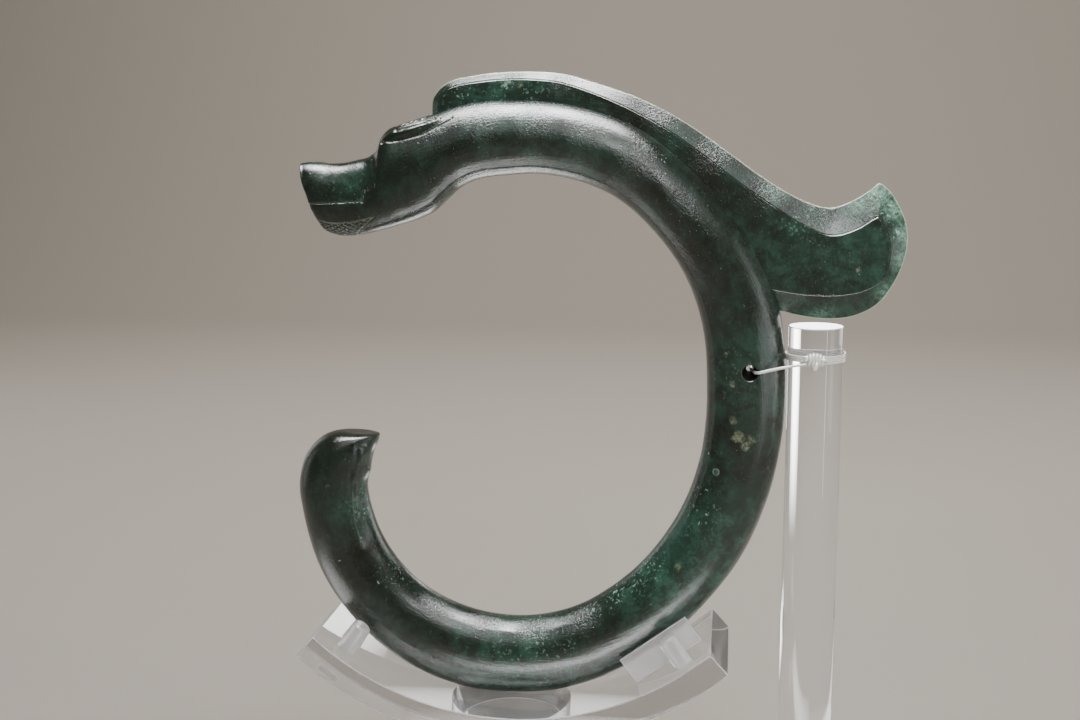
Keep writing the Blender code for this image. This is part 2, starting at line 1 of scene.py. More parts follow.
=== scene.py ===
"""Looks of the C-shaped jade dragon and its clear stand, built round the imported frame.

The dragon is carved again at full detail on the same sections as its solid: eyes, mouth,
nostrils, the diamond nets on forehead and chin, and a hollow-ground mane. The stand gets
polished edges, and the thread a real knot. Lengths in the carving's tables are millimetres
of a carving 260 mm high, measured from the middle of its C.
"""

import math

import bmesh
import bpy
from mathutils import Matrix, Vector, kdtree, noise


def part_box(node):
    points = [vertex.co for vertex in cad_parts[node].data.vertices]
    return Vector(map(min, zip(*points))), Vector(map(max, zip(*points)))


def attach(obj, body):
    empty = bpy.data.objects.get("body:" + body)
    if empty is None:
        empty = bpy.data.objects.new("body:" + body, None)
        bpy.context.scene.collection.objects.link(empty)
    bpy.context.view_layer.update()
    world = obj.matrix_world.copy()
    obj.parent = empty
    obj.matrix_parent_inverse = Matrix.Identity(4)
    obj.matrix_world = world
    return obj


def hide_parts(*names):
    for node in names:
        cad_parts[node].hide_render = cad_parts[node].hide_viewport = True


bl_info = {
    "name": "Jade dragon",
    "version": (1, 0, 0),
    "blender": (4, 5, 0),
    "location": "3D View > Sidebar > Jade dragon",
    "description": "Carves and dresses a jade dragon on its clear stand",
    "category": "Object",
}

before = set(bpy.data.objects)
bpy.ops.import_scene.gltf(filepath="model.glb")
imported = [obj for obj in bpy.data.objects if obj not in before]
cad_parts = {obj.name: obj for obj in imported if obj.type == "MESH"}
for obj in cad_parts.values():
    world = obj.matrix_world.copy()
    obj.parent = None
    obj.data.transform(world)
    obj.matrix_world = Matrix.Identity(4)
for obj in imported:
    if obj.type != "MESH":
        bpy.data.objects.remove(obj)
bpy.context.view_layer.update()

# The carving's extent in its own millimetres, and where that puts it in the frame
CARVING_LEFT, CARVING_RIGHT, CARVING_TOP = -101.7, 147.8, 135.7
JADE_LOW, JADE_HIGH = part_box("jade_dragon")
STONE = (JADE_HIGH.x - JADE_LOW.x) / (CARVING_RIGHT - CARVING_LEFT)
MIDDLE = Vector((JADE_LOW.x - CARVING_LEFT * STONE, 0.0, JADE_HIGH.z - CARVING_TOP * STONE))
TO_FRAME = Matrix.Translation(MIDDLE) @ Matrix.Scale(STONE, 4)

# Head sections from the nose to the neck: top point, lower point, half depth, squareness
HEAD = (
    ((-98.4, 98.9), (-90.6, 75.0), 7.6, 2.3),
    ((-94.5, 99.5), (-87.8, 71.6), 8.4, 2.4),
    ((-89.5, 99.5), (-83.6, 69.8), 8.9, 2.4),
    ((-81.1, 99.1), (-76.5, 69.3), 9.4, 2.4),
    ((-73.5, 100.6), (-70.2, 70.3), 10.0, 2.4),
    ((-68.6, 102.0), (-66.2, 71.2), 10.6, 2.4),
    ((-65.3, 104.8), (-63.0, 72.1), 11.1, 2.4),
    ((-63.5, 109.6), (-60.6, 72.7), 11.6, 2.4),
    ((-60.4, 113.0), (-57.4, 73.7), 12.1, 2.4),
    ((-55.0, 115.0), (-53.0, 75.0), 12.4, 2.3),
    ((-48.0, 117.2), (-47.4, 77.0), 12.7, 2.2),
    ((-41.0, 119.6), (-41.8, 79.8), 12.9, 2.1),
    ((-34.6, 122.0), (-36.4, 84.6), 13.0, 2.0),
    ((-28.6, 123.5), (-31.2, 89.2), 13.0, 2.0),
    ((-22.5, 124.4), (-24.6, 92.5), 13.0, 2.0),
)

# Body sections round the C: angle in degrees, centre radius, half width
BODY = (
    (96.0, 110.4, 15.2),
    (84.0, 109.3, 14.8),
    (70.0, 106.4, 14.6),
    (55.0, 100.5, 14.5),
    (40.0, 96.0, 15.3),
    (25.0, 91.4, 16.1),
    (10.0, 87.0, 16.1),
    (-4.0, 85.6, 15.7),
    (-20.0, 86.6, 15.6),
    (-35.0, 89.2, 15.8),
    (-50.0, 93.0, 15.8),
    (-65.0, 98.4, 16.1),
    (-80.0, 104.6, 16.5),
    (-95.0, 108.6, 16.6),
    (-110.0, 110.5, 16.9),
    (-125.0, 108.8, 16.0),
    (-140.0, 103.6, 15.8),
    (-155.0, 95.0, 15.9),
)
BODY_HALF_DEPTH = 13.0

# Tail sections up to the slanting end: outer point, inner point, half depth
TAIL = (
    ((-101.7, -38.5), (-70.5, -29.6), 12.8),
    ((-100.9, -30.6), (-69.9, -26.2), 12.6),
    ((-98.4, -23.2), (-68.9, -22.2), 12.1),
    ((-94.2, -17.8), (-67.8, -18.4), 11.0),
    ((-89.2, -14.3), (-66.9, -14.9), 9.0),
    ((-84.0, -12.7), (-66.7, -13.9), 6.0),
)

# The mane's outline from its front end round the tip to its root: sharp edge, bevel ridge
MANE = (
    ((-42.4, 112.0), (-39.2, 112.0)),
    ((-42.9, 120.2), (-39.8, 120.2)),
    ((-42.1, 125.6), (-38.6, 125.4)),
    ((-39.0, 129.7), (-36.0, 128.6)),
    ((-35.0, 132.1), (-32.6, 130.0)),
    ((-25.6, 134.1), (-25.0, 131.4)),
    ((-14.8, 135.4), (-14.6, 132.5)),
    ((-3.9, 135.7), (-3.9, 132.7)),
    ((9.0, 135.0), (8.4, 131.6)),
    ((25.5, 130.6), (23.8, 126.9)),
    ((41.5, 125.0), (38.6, 120.4)),
    ((57.5, 117.0), (53.6, 112.2)),
    ((73.5, 106.4), (68.8, 101.6)),
    ((89.4, 95.0), (84.4, 90.0)),
    ((101.4, 87.6), (96.8, 81.8)),
    ((110.0, 83.7), (107.0, 75.6)),
    ((118.4, 82.3), (118.0, 71.6)),
    ((127.2, 85.8), (128.4, 74.6)),
    ((133.0, 89.6), (134.0, 78.2)),
    ((136.1, 92.0), (135.8, 79.0)),
    ((139.6, 89.6), (136.8, 77.4)),
    ((143.8, 83.6), (138.8, 74.2)),
    ((147.0, 76.0), (140.4, 70.0)),
    ((147.8, 68.6), (141.0, 65.4)),
    ((146.3, 60.3), (140.2, 59.2)),
    ((142.6, 51.6), (137.0, 53.2)),
    ((136.8, 43.9), (131.2, 49.8)),
    ((127.8, 39.1), (124.6, 48.2)),
    ((117.6, 37.8), (116.8, 47.6)),
    ((107.0, 38.8), (107.0, 48.0)),
    ((98.5, 40.6), (99.0, 49.2)),
    ((88.0, 42.0), (90.0, 51.0)),
)
MANE_ROOT = ((78.0, 60.0), (62.0, 84.0), (40.0, 100.0), (12.0, 108.0), (-18.0, 109.0))
MANE_HALF_THICK = 3.6
MANE_HALF_EDGE = 0.45

# Carved lines and forms: points in the plane of the C, and in space where a line runs round the head
EYE_FRONT, EYE_BACK = (-62.8, 108.2), (-33.4, 118.6)
EYE_OUT_FRONT, EYE_OUT_BACK = 7.4, 9.4
EYE_RADIUS, EYE_SKEW, EYE_BLUNT = 3.9, 0.75, 0.8
EYE_BLEND, EYE_LIFT = 2.6, 0.55
EYE_LINE = ((-61.6, -8.3, 107.6), (-57.7, -9.9, 108.0), (-52.8, -10.5, 108.7), (-47.9, -10.4, 110.1),
            (-44.8, -10.4, 111.0), (-41.6, -10.3, 112.5), (-38.4, -9.9, 114.3), (-35.8, -9.7, 115.6),
            (-32.8, -9.2, 117.2))
EYE_CORNER = (-61.8, -8.3, 107.7)
BROW_LINE = ((-48.2, -9.7, 117.1), (-44.8, -10.3, 117.5), (-40.1, -10.5, 118.2), (-36.3, -10.6, 117.9),
             (-32.8, -8.9, 117.5))
LID_LINES = (((-55.8, 112.3), (-48.3, 114.2), (-41.0, 116.2), (-38.0, 117.0)),
             ((-57.6, 114.4), (-52.0, 115.6), (-46.0, 116.5), (-40.2, 117.2)))
MOUTH_START, MOUTH_END = (-99.6, 82.2), (-70.0, 84.0)
MOUTH_CORNER = ((-70.0, 84.0), (-69.6, 86.4), (-68.6, 88.2), (-67.0, 89.7), (-64.8, 90.4))
CHIN_NET_TOP = ((-88.6, 75.6), (-85.2, 74.6), (-80.8, 74.5), (-73.9, 75.4), (-69.4, 76.4), (-64.8, 77.8))
CHIN_NET_END = ((66.0, -76.5), (69.0, -74.8), (71.6, -72.3), (73.8, -69.5), (76.1, -67.1), (78.0, -64.8))
BROW_NET_X = (-60.5, -39.0)
SECTION_ROUND = 80.0
ARRIS_TURN, ARRIS_WIDTH, ARRIS_RISE = 0.112, 1.2, 0.20
NOSTRIL_OUT, NOSTRIL_HEIGHT = 3.3, 92.6
SNOUT_CREASE = ((-67.4, 102.5), (-67.2, 101.0), (-66.5, 97.4), (-65.7, 93.8))
NOSE_RIM = ((-97.4, 99.2), (-96.6, 96.0), (-96.0, 92.0), (-94.6, 86.0), (-92.4, 80.0))
TAIL_CREST = ((-72.8, -21.5), (-75.8, -31.0), (-76.7, -41.0), (-75.7, -50.3), (-73.6, -58.5))

# Cut lines and raised forms of the head and tail: depth or rise, and width, in millimetres
EYE_CUT, LID_CUT, BROW_CUT = (0.36, 0.26), (0.36, 0.30), (0.36, 0.32)
EYE_CORNER_PIT, MOUTH_END_PIT = (0.7, 0.75), (0.8, 0.6)
MOUTH_WIDTH, NET_WIDTH = 0.24, 0.34
NET_RIM_CUT = (0.34, 0.32)
MOUTH_SWELL, SNOUT_DIP, CREASE_RISE, NOSE_RIM_RISE = (0.14, 1.2), (0.34, 2.4), (0.16, 0.7), (0.20, 0.4)
SNOUT_DIP_X = -86.0
NOSTRIL_DEPTH, NOSTRIL_LIP, NOSTRIL_LIP_OUT = 1.9, (0.25, 0.5), 2.1
CREST_RISE, CREST_HOLLOW, CREST_HOLLOW_IN = (0.50, 0.8), (0.70, 2.2), 3.4
BROW_NET_HALF, BROW_NET_LOW = 5.4, 104.0

# Where the head, the nose's rim, the nostrils, the lids and the tail begin
HEAD_BACK, HEAD_LOW, NOSE_BACK, NOSTRIL_BACK, LID_LOW = -28.0, 60.0, -90.0, -88.0, 108.0
TAIL_INSIDE, TAIL_HIGH = -60.0, -10.0

# How near a cut line faces are divided once and twice, in millimetres
FINE_REACH, FINEST_REACH = 1.2, 0.5

# Hand-worked unevenness of the plain form: height in millimetres, and how close its waves lie
WAVES = ((0.12, 0.055), (0.035, 0.19))
DRAWN_WAVES = (0.05, 1.6, 0.22)

# Rounding of the two ends, step on the tail, and the rings of an end and of its rounding
NOSE_ROUND, TAIL_ROUND = 0.9, 1.6
TAIL_STEP = 1.1
END_RINGS, FILLET_RINGS = 14, 6
RING_MARGIN = 0.02

# How the mane is built up: parts between outline points, grid, drop and hollow of its field, rib and edge
MANE_PARTS = 6
FIELD_STEP, FIELD_DROP, FIELD_HOLLOW, FIELD_FADE = 2.6, 0.28, 0.55, 5.0
RIB_FOOT, RIB_RISE, EDGE_CHAMFER = 0.32, 0.18, 0.25
THIN_REACH = 4.5

# The stand and the hanging hole, from the same values as their solids
HOLE_AT = (87.1, 17.2)
FIT_GAP = 0.0003
SADDLE_AXIS = (-8.0, -3.7)
SADDLE_WALL = 0.0112
SADDLE_HALF_ANGLE = math.radians(42.0)
PEG_ANGLE = math.radians(35.4)
PEG_HEIGHT, PEG_ROUND = 0.0130, 0.34
SPACER_SIZE = (0.0330, 0.0018, 0.0118)
SPACER_TURN = math.radians(32.6 + 4.0)
BASE_CORNER, BASE_EDGE = 0.006, 0.0008
THREAD_RISE = 0.0056
HOLE_NECK_LENGTH = 0.0032
HOLE_LIP = 0.0007
UP = Vector((0.0, 0.0, 1.0))

# Points round each turned piece, steps along the saddle, and the turn past which an edge stays sharp
PEG_SIDES, PILLAR_SIDES, ROD_SIDES, HOLE_SIDES, SEAT_SIDES, SADDLE_STEPS = 64, 128, 160, 48, 720, 140
STONE_SHARP, ACRYLIC_SHARP = 32.0, 20.0

# The thread's turns round the rod: their number, share of its thickness and rise, and its knot
WRAP_TURNS, WRAP_SHARE, WRAP_PITCH = 3, 0.70, 0.00082
KNOT_COILS, KNOT_RADIUS, KNOT_LENGTH = 5.5, 0.0023, 0.0072
KNOT_POINTS, KNOT_SHIFT = 96, 0.0006
CORD_PARTS = 6
SHARE_SCALE = 0.001

# Loose ends of the knot: millimetres from its middle, and the share of the thread's thickness
KNOT_ENDS = (
    ((0.6, -1.9, -0.6, 0.9), (0.2, -2.7, -2.0, 1.2), (-0.2, -2.6, -3.1, 1.5), (-0.4, -2.3, -3.9, 0.7)),
    ((2.6, -1.4, 0.3, 1.2), (4.0, -1.6, 0.3, 1.0), (5.4, -1.3, 0.0, 0.6)),
)

# The camera's place in the carving's millimetres, how far it looks down and its turn, in degrees
CAMERA_AT, CAMERA_DOWN, CAMERA_TURN = (79.0, -606.0, 117.0), 9.13, 7.3
FLOOR_DROP = 0.0002


class CarvingSettings(bpy.types.PropertyGroup):
    """How finely and deeply the stone is carved."""

    head_step: bpy.props.FloatProperty(
        name="Head step", description="Distance between sections on the head, in millimetres", default=0.8)
    body_step: bpy.props.FloatProperty(
        name="Body step", description="Distance between sections round the C, in millimetres", default=3.0)
    sides: bpy.props.IntProperty(name="Sides", description="Points round each section", default=128)
    net_pitch: bpy.props.FloatProperty(
        name="Net pitch", description="Spacing of the diamond net's lines, in millimetres", default=3.1)
    net_depth: bpy.props.FloatProperty(
        name="Net depth", description="Depth of the diamond net's lines, in millimetres", default=0.38)
    mouth_depth: bpy.props.FloatProperty(
        name="Mouth depth", description="Depth of the mouth line, in millimetres", default=0.55)
    hole_mouth: bpy.props.FloatProperty(
        name="Hole mouth", description="Diameter of the hanging hole at its faces", default=0.0076,
        unit="LENGTH", precision=4)
    hole_neck: bpy.props.FloatProperty(
        name="Hole neck", description="Diameter of the hanging hole at its narrowest", default=0.0030,
        unit="LENGTH", precision=4)


class JadeSettings(bpy.types.PropertyGroup):
    """Colours and polish of the nephrite."""

    deep: bpy.props.FloatVectorProperty(
        name="Deep green", description="The nearly black ground of the stone", subtype="COLOR", size=4,
        default=(0.0175, 0.0215, 0.0160, 1.0))
    green: bpy.props.FloatVectorProperty(
        name="Forest green", description="The clouds in the stone", subtype="COLOR", size=4,
        default=(0.0330, 0.0900, 0.0650, 1.0))
    # Emerald is the brightest clouds, and also paints the light passing through the mane's thin edge
    emerald: bpy.props.FloatVectorProperty(
        name="Emerald", description="Thin edges and the brightest clouds", subtype="COLOR", size=4,
        default=(0.0850, 0.2550, 0.1850, 1.0))
    jade_pale: bpy.props.FloatVectorProperty(
        name="Pale jade", description="The light veined jade at the mane's thin tip", subtype="COLOR", size=4,
        default=(0.3000, 0.6000, 0.4400, 1.0))
    # Olive is the inclusions' own colour, and also lightens the carved lines as a painted highlight
    olive: bpy.props.FloatVectorProperty(
        name="Olive", description="Dull olive inclusions", subtype="COLOR", size=4,
        default=(0.2600, 0.2900, 0.1900, 1.0))
    pale: bpy.props.FloatVectorProperty(
        name="Pale flecks", description="Small pale specks", subtype="COLOR", size=4,
        default=(0.5600, 0.8600, 0.7200, 1.0))
    # Painted light: the cream line of light passing through the mane's thin edge
    painted_edge_light: bpy.props.FloatVectorProperty(
        name="Thin edge", description="Cream light that passes the mane's edge", subtype="COLOR", size=4,
        default=(0.7400, 0.8000, 0.6000, 1.0))
    polish: bpy.props.FloatProperty(
        name="Roughness", description="Roughness of the polished surface", default=0.09, min=0.0, max=1.0)


class StandSettings(bpy.types.PropertyGroup):
    """Finish of the clear stand and the thread."""

    clear: bpy.props.FloatVectorProperty(
        name="Acrylic", description="Tint of the clear acrylic", subtype="COLOR", size=4,
        default=(0.985, 0.985, 0.99, 1.0))
    index: bpy.props.FloatProperty(
        name="Index", description="Refractive index of acrylic", default=1.49, min=1.0, max=2.0)
    clarity: bpy.props.FloatProperty(
        name="Clarity", description="How much light passes rather than scatters", default=0.94, min=0.0,
        max=1.0)
    edge: bpy.props.FloatProperty(
        name="Polished edge", description="Width of the small edge bevels", default=0.0004, unit="LENGTH",
        precision=5)
    thread: bpy.props.FloatVectorProperty(
        name="Thread", description="Colour of the nylon thread", subtype="COLOR", size=4,
        default=(0.96, 0.96, 0.93, 1.0))
    thread_width: bpy.props.FloatProperty(
        name="Thread width", description="Diameter of the thread", default=0.0013, unit="LENGTH", precision=4)


class StageSettings(bpy.types.PropertyGroup):
    """Floor, backdrop, light and camera."""

    floor: bpy.props.FloatVectorProperty(
        name="Floor", description="Colour of the floor and backdrop", subtype="COLOR", size=4,
        default=(0.500, 0.455, 0.395, 1.0))
    world: bpy.props.FloatVectorProperty(
        name="Surround", description="Colour of the soft light from all round", subtype="COLOR", size=4,
        default=(0.110, 0.095, 0.078, 1.0))
    lens: bpy.props.FloatProperty(
        name="Lens", description="Focal length on a 36 mm frame", default=50.0, subtype="DISTANCE_CAMERA")


def in_frame(x, y, z):
    """Return the place of a point given in the carving's own millimetres."""
    return MIDDLE + Vector((x, y, z)) * STONE


HOLE_MIDDLE = in_frame(HOLE_AT[0], 0.0, HOLE_AT[1])


def point_tree(points):
    """Return a tree that finds the nearest of some points."""
    tree = kdtree.KDTree(len(points))
    for i, point in enumerate(points):
        tree.insert(point, i)
    tree.balance()
    return tree


def smooth(low, high, value):
    """Rise smoothly from 0 at low to 1 at high."""
    t = min(max((value - low) / (high - low), 0.0), 1.0)
    return t * t * (3.0 - 2.0 * t)


def signed_power(value, power):
    """Raise the size of a number to a power and keep its sign."""
    return math.copysign(abs(value) ** power, value)


def slope(rows, i):
    """Return how fast each number of a row changes along the run of rows, at row i."""
    if i in (0, len(rows) - 1):
        i, j = (0, 1) if i == 0 else (i - 1, i)
        length = math.dist(rows[i], rows[j])
        return [(b - a) / length for a, b in zip(rows[i], rows[j])]
    near, far = math.dist(rows[i - 1], rows[i]), math.dist(rows[i], rows[i + 1])
    return [((b - a) / near * far + (c - b) / far * near) / (near + far)
            for a, b, c in zip(rows[i - 1], rows[i], rows[i + 1])]


def row_at(rows, station):
    """Return the row of numbers at a station along a smooth curve through rows."""
    i = min(int(station), len(rows) - 2)
    t = station - i
    t2, t3 = t * t, t * t * t
    length = math.dist(rows[i], rows[i + 1])
    return [(2 * t3 - 3 * t2 + 1) * start + (t3 - 2 * t2 + t) * leave * length
            + (3 * t2 - 2 * t3) * end + (t3 - t2) * arrive * length
            for start, leave, end, arrive in zip(rows[i], slope(rows, i), rows[i + 1], slope(rows, i + 1))]


def sweep_rows():
    """Return the section rows from nose to tail: outer and inner point, half depth, squareness."""
    rows = [(*top, *low, depth, square) for top, low, depth, square in HEAD]
    for angle, radius, half in BODY:
        c, s = math.cos(math.radians(angle)), math.sin(math.radians(angle))
        far, near = radius + half, radius - half
        rows.append((c * far, s * far, c * near, s * near, BODY_HALF_DEPTH, 2.0))
    return rows + [(*outer, *inner, depth, 2.0) for outer, inner, depth in TAIL]


SWEEP = sweep_rows()
FIRST_BODY, FIRST_TAIL = len(HEAD), len(HEAD) + len(BODY)


def row_middle(row):
    """Return the middle of a section in the plane of the C."""
    return Vector(((row[0] + row[2]) / 2.0, (row[1] + row[3]) / 2.0))


def end_rings(station, inward, radius):
    """Return the rings of a closed end from its centre to its rim: station, inset, scale."""
    flat = [(station, radius, i / END_RINGS) for i in range(END_RINGS)]
    length = (row_middle(SWEEP[int(station + inward)]) - row_middle(SWEEP[int(station)])).length
    rim = []
    for i in range(FILLET_RINGS + 1):
        turn = math.pi / 2.0 * i / FILLET_RINGS
        moved = station + inward * radius * (1.0 - math.cos(turn)) / length
        rim.append((moved, radius * (1.0 - math.sin(turn)), 1.0))
    return flat + rim


def section_rings(settings):
    """Return every ring from the nose's centre to the tail's: station, inset, scale."""
    last = len(SWEEP) - 1
    nose = end_rings(0, 1, NOSE_ROUND)
    tail = end_rings(last, -1, TAIL_ROUND)
    between = []
    for i in range(last):
        step = settings.head_step if i < FIRST_BODY - 1 else settings.body_step
        if i >= FIRST_TAIL - 1:
            step = TAIL_STEP
        parts = max(1, round((row_middle(SWEEP[i + 1]) - row_middle(SWEEP[i])).length / step))
        between += [(i + k / parts, 0.0, 1.0) for k in range(parts)]
    low, high = nose[-1][0] + RING_MARGIN, tail[-1][0] - RING_MARGIN
    return nose + [ring for ring in between if low < ring[0] < high] + tail[::-1]


def surface(rings, place, turn):
    """Return the point and outward direction at a place along the rings and a turn round them."""
    i = min(int(place), len(rings) - 2)
    t = place - i
    station, inset, scale = (a + (b - a) * t for a, b in zip(rings[i], rings[i + 1]))
    ox, oz, ix, iz, depth, square = row_at(SWEEP, station)
    out_x, out_z = (ox - ix) / 2.0, (oz - iz) / 2.0
    half = math.hypot(out_x, out_z)
    shrink = (half - inset) / half * scale
    c, s = math.cos(math.tau * turn), math.sin(math.tau * turn)
    out, side = signed_power(c, 2.0 / square), signed_power(s, 2.0 / square)
    wide = (depth - inset) * scale
    point = Vector(((ox + ix) / 2.0 + out_x * shrink * out, -wide * side,
                    (oz + iz) / 2.0 + out_z * shrink * out))
    lean = signed_power(out, square - 1.0) / half
    across = signed_power(side, square - 1.0) / depth
    direction = Vector((out_x / half * lean, -across, out_z / half * lean))
    along = Vector((-out_z, 0.0, out_x)) / half
    at_nose = station < 1.0
    if at_nose or station > len(SWEEP) - 2:
        rim = max(1.0 - inset / (NOSE_ROUND if at_nose else TAIL_ROUND), 0.0) if scale >= 1.0 else 0.0
        ahead = Vector((-abs(along.x), 0.0, along.z * math.copysign(1.0, -along.x))) if at_nose else UP
        direction = direction.normalized() * rim + ahead * (1.0 - rim)
    return point, direction.normalized()


def stretch_distance(x, z, points):
    """Return the distance in the plane of the C to a run of straight stretches."""
    best = 1e9
    for (ax, az), (bx, bz) in zip(points, points[1:]):
        dx, dz = bx - ax, bz - az
        t = min(max(((x - ax) * dx + (z - az) * dz) / (dx * dx + dz * dz), 0.0), 1.0)
        best = min(best, math.hypot(x - ax - dx * t, z - az - dz * t))
    return best


def height_on(points, x):
    """Return the height of a run of points at x."""
    for (ax, az), (bx, bz) in zip(points, points[1:]):
        if x <= bx:
            return az + (bz - az) * (x - ax) / (bx - ax)
    return points[-1][1]


def line_distance(point, line):
    """Return the distance in space to a run of stretches that both sides of the head carry."""
    here = Vector((point.x, -abs(point.y), point.z))
    best = 1e9
    for start, end in zip(line, line[1:]):
        start, step = Vector(start), Vector(end) - Vector(start)
        t = min(max((here - start).dot(step) / step.length_squared, 0.0), 1.0)
        best = min(best, (here - start - step * t).length)
    return best


def ridge(distance, rise, width):
    """Return how far a rounded ridge stands up at a distance from its line."""
    return rise * math.exp(-(distance / width) ** 2)


def groove(distance, depth, width):
    """Return how far a rounded groove sinks at a distance from its line."""
    return -ridge(distance, depth, width)


def eye_distance(point):
    """Return how far a point lies outside the nearer eye's spindle, below zero inside it."""
    side = math.copysign(1.0, point.y)
    start = Vector((EYE_FRONT[0], side * EYE_OUT_FRONT, EYE_FRONT[1]))
    axis = Vector((EYE_BACK[0], side * EYE_OUT_BACK, EYE_BACK[1])) - start
    t = min(max((point - start).dot(axis) / axis.length_squared, 0.0), 1.0)
    swell = EYE_RADIUS * math.sin(math.pi * t ** EYE_SKEW) ** EYE_BLUNT if 0.0 < t < 1.0 else 0.0
    return (point - start - axis * t).length - swell


def eye_relief(point, direction):
    """Swell the eye out of the brow with soft borders, between two incised lines."""
    first = eye_distance(point)
    lift = 0.0
    for _ in range(5):
        gap = eye_distance(point + direction * lift)
        if gap >= 0.0:
            break
        lift -= gap
    lift *= EYE_LIFT * smooth(0.0, EYE_BLEND, -first)
    raised = point + direction * lift
    corner = (Vector((raised.x, -abs(raised.y), raised.z)) - Vector(EYE_CORNER)).length
    lids = sum(groove(stretch_distance(raised.x, raised.z, line), *LID_CUT) for line in LID_LINES)
    return lift, (groove(line_distance(raised, EYE_LINE), *EYE_CUT) + groove(corner, *EYE_CORNER_PIT)
                  + groove(line_distance(raised, BROW_LINE), *BROW_CUT)
                  + lids * smooth(0.2, 0.5, abs(direction.y)))


def net_offset(along, around, settings):
    """Return the distance to the nearer line of two crossing families."""
    return min(abs((position / settings.net_pitch) % 1.0 - 0.5) * settings.net_pitch
               for position in (along + around, along - around))


def brow_net_mask(point):
    """Return 1 on the forehead between the eyes."""
    if point.z < BROW_NET_LOW:
        return 0.0
    along = min(max((point.x - BROW_NET_X[0]) / (BROW_NET_X[1] - BROW_NET_X[0]), 0.0), 1.0)
    edge = BROW_NET_HALF * math.sin(math.pi * along) ** 0.6
    return smooth(0.0, 0.5, edge - abs(point.y)) if edge > 0.0 else 0.0


def chin_net_inset(point):
    """Return how far a point lies within the jaw's net, in millimetres, below zero outside it."""
    if point.z > CHIN_NET_TOP[-1][1] or point.x < CHIN_NET_TOP[0][0]:
        return -1.0
    return min(height_on(CHIN_NET_TOP, point.x) - point.z, height_on(CHIN_NET_END, point.z) - point.x)


def tail_crest(point):
    """Raise a soft ridge down the tail and hollow the face between it and the inner edge."""
    x, _, z = point
    away = stretch_distance(x, z, TAIL_CREST)
    middle = sum(crest[0] for crest in TAIL_CREST) / len(TAIL_CREST)
    inner = math.copysign(away, x - middle) if away < 2.0 else away if x > middle else -away
    ends = smooth(-10.0, -20.0, z) * smooth(-66.0, -56.0, z)
    return (ridge(inner, *CREST_RISE) + groove(inner - CREST_HOLLOW_IN, *CREST_HOLLOW)) * ends


def mouth_offset(x, z):
    """Return the distance to the mouth line, whose front end runs out over the nose."""
    rise = (MOUTH_END[1] - MOUTH_START[1]) / (MOUTH_END[0] - MOUTH_START[0])
    return abs(z - MOUTH_START[1] - rise * (x - MOUTH_START[0])) if x < MOUTH_END[0] else 9.0


def head_relief(point, direction, turn, settings):
    """Return the relief of the head, eyes and nostrils, and that of its cut lines."""
    x, y, z = point
    out, cut = eye_relief(point, direction)
    flank = smooth(0.15, 0.4, abs(direction.y))
    mouth = groove(mouth_offset(x, z), settings.mouth_depth, MOUTH_WIDTH)
    cut += mouth * smooth(0.0, 2.0, MOUTH_END[0] + 0.8 - x)
    corner = stretch_distance(x, z, MOUTH_CORNER)
    cut += ridge(corner, min(0.40 * noise.noise(point * 1.7) - 0.08, 0.0), MOUTH_SWELL[1]) * flank
    out += ridge(corner, *MOUTH_SWELL) * flank
    cut += groove(math.hypot(x - MOUTH_END[0], z - MOUTH_END[1]), *MOUTH_END_PIT) * flank
    out += groove(x - SNOUT_DIP_X, *SNOUT_DIP) * smooth(90.0, 97.0, z)
    out += ridge(stretch_distance(x, z, SNOUT_CREASE), *CREASE_RISE)
    if x < NOSE_BACK and z > 80.0:
        out += ridge(stretch_distance(x, z, NOSE_RIM), *NOSE_RIM_RISE) * flank
    if x < NOSTRIL_BACK:
        front = smooth(NOSTRIL_BACK, NOSTRIL_BACK - 4.0, x)
        for side in (-1.0, 1.0):
            away = math.hypot(y - side * NOSTRIL_OUT, z - NOSTRIL_HEIGHT)
            out -= NOSTRIL_DEPTH * (1.0 - smooth(0.7, 1.7, away)) * front
            out += ridge(away - NOSTRIL_LIP_OUT, *NOSTRIL_LIP) * front
    inset = chin_net_inset(point)
    if inset > -1.0:
        offset = net_offset(x, (turn - 0.5) * SECTION_ROUND, settings)
        cut += groove(offset, settings.net_depth, NET_WIDTH) * smooth(0.0, 0.5, inset)
        cut += groove(inset, *NET_RIM_CUT)
    brow = brow_net_mask(point)
    if brow > 0.0:
        around = ((turn + 0.5) % 1.0 - 0.5) * SECTION_ROUND
        cut += groove(net_offset(x, around, settings), settings.net_depth, NET_WIDTH) * brow
    return out, cut


def on_head(point):
    """Say whether a point lies on the head."""
    return point.x < HEAD_BACK and point.z > HEAD_LOW


def relief(point, direction, turn, settings):
    """Return how far a point stands out of the plain form, in millimetres, and how deep it is cut."""
    x, y, z = point
    cut = 0.0
    out = sum(rise * noise.noise(point * close) for rise, close in WAVES)
    rise, round_c, across = DRAWN_WAVES
    out += rise * noise.noise(Vector((math.atan2(z, x) * round_c, y * across, math.hypot(x, z) * across)))
    beside = (abs(turn - 0.5) - ARRIS_TURN) * SECTION_ROUND
    out += ridge(beside, ARRIS_RISE, ARRIS_WIDTH) * smooth(-56.0, -34.0, x - 20.0 * (z < 0.0))
    if on_head(point):
        form, cut = head_relief(point, direction, turn, settings)
        out += form
    if x < TAIL_INSIDE and z < TAIL_HIGH:
        out += tail_crest(point)
    return out + cut, -cut


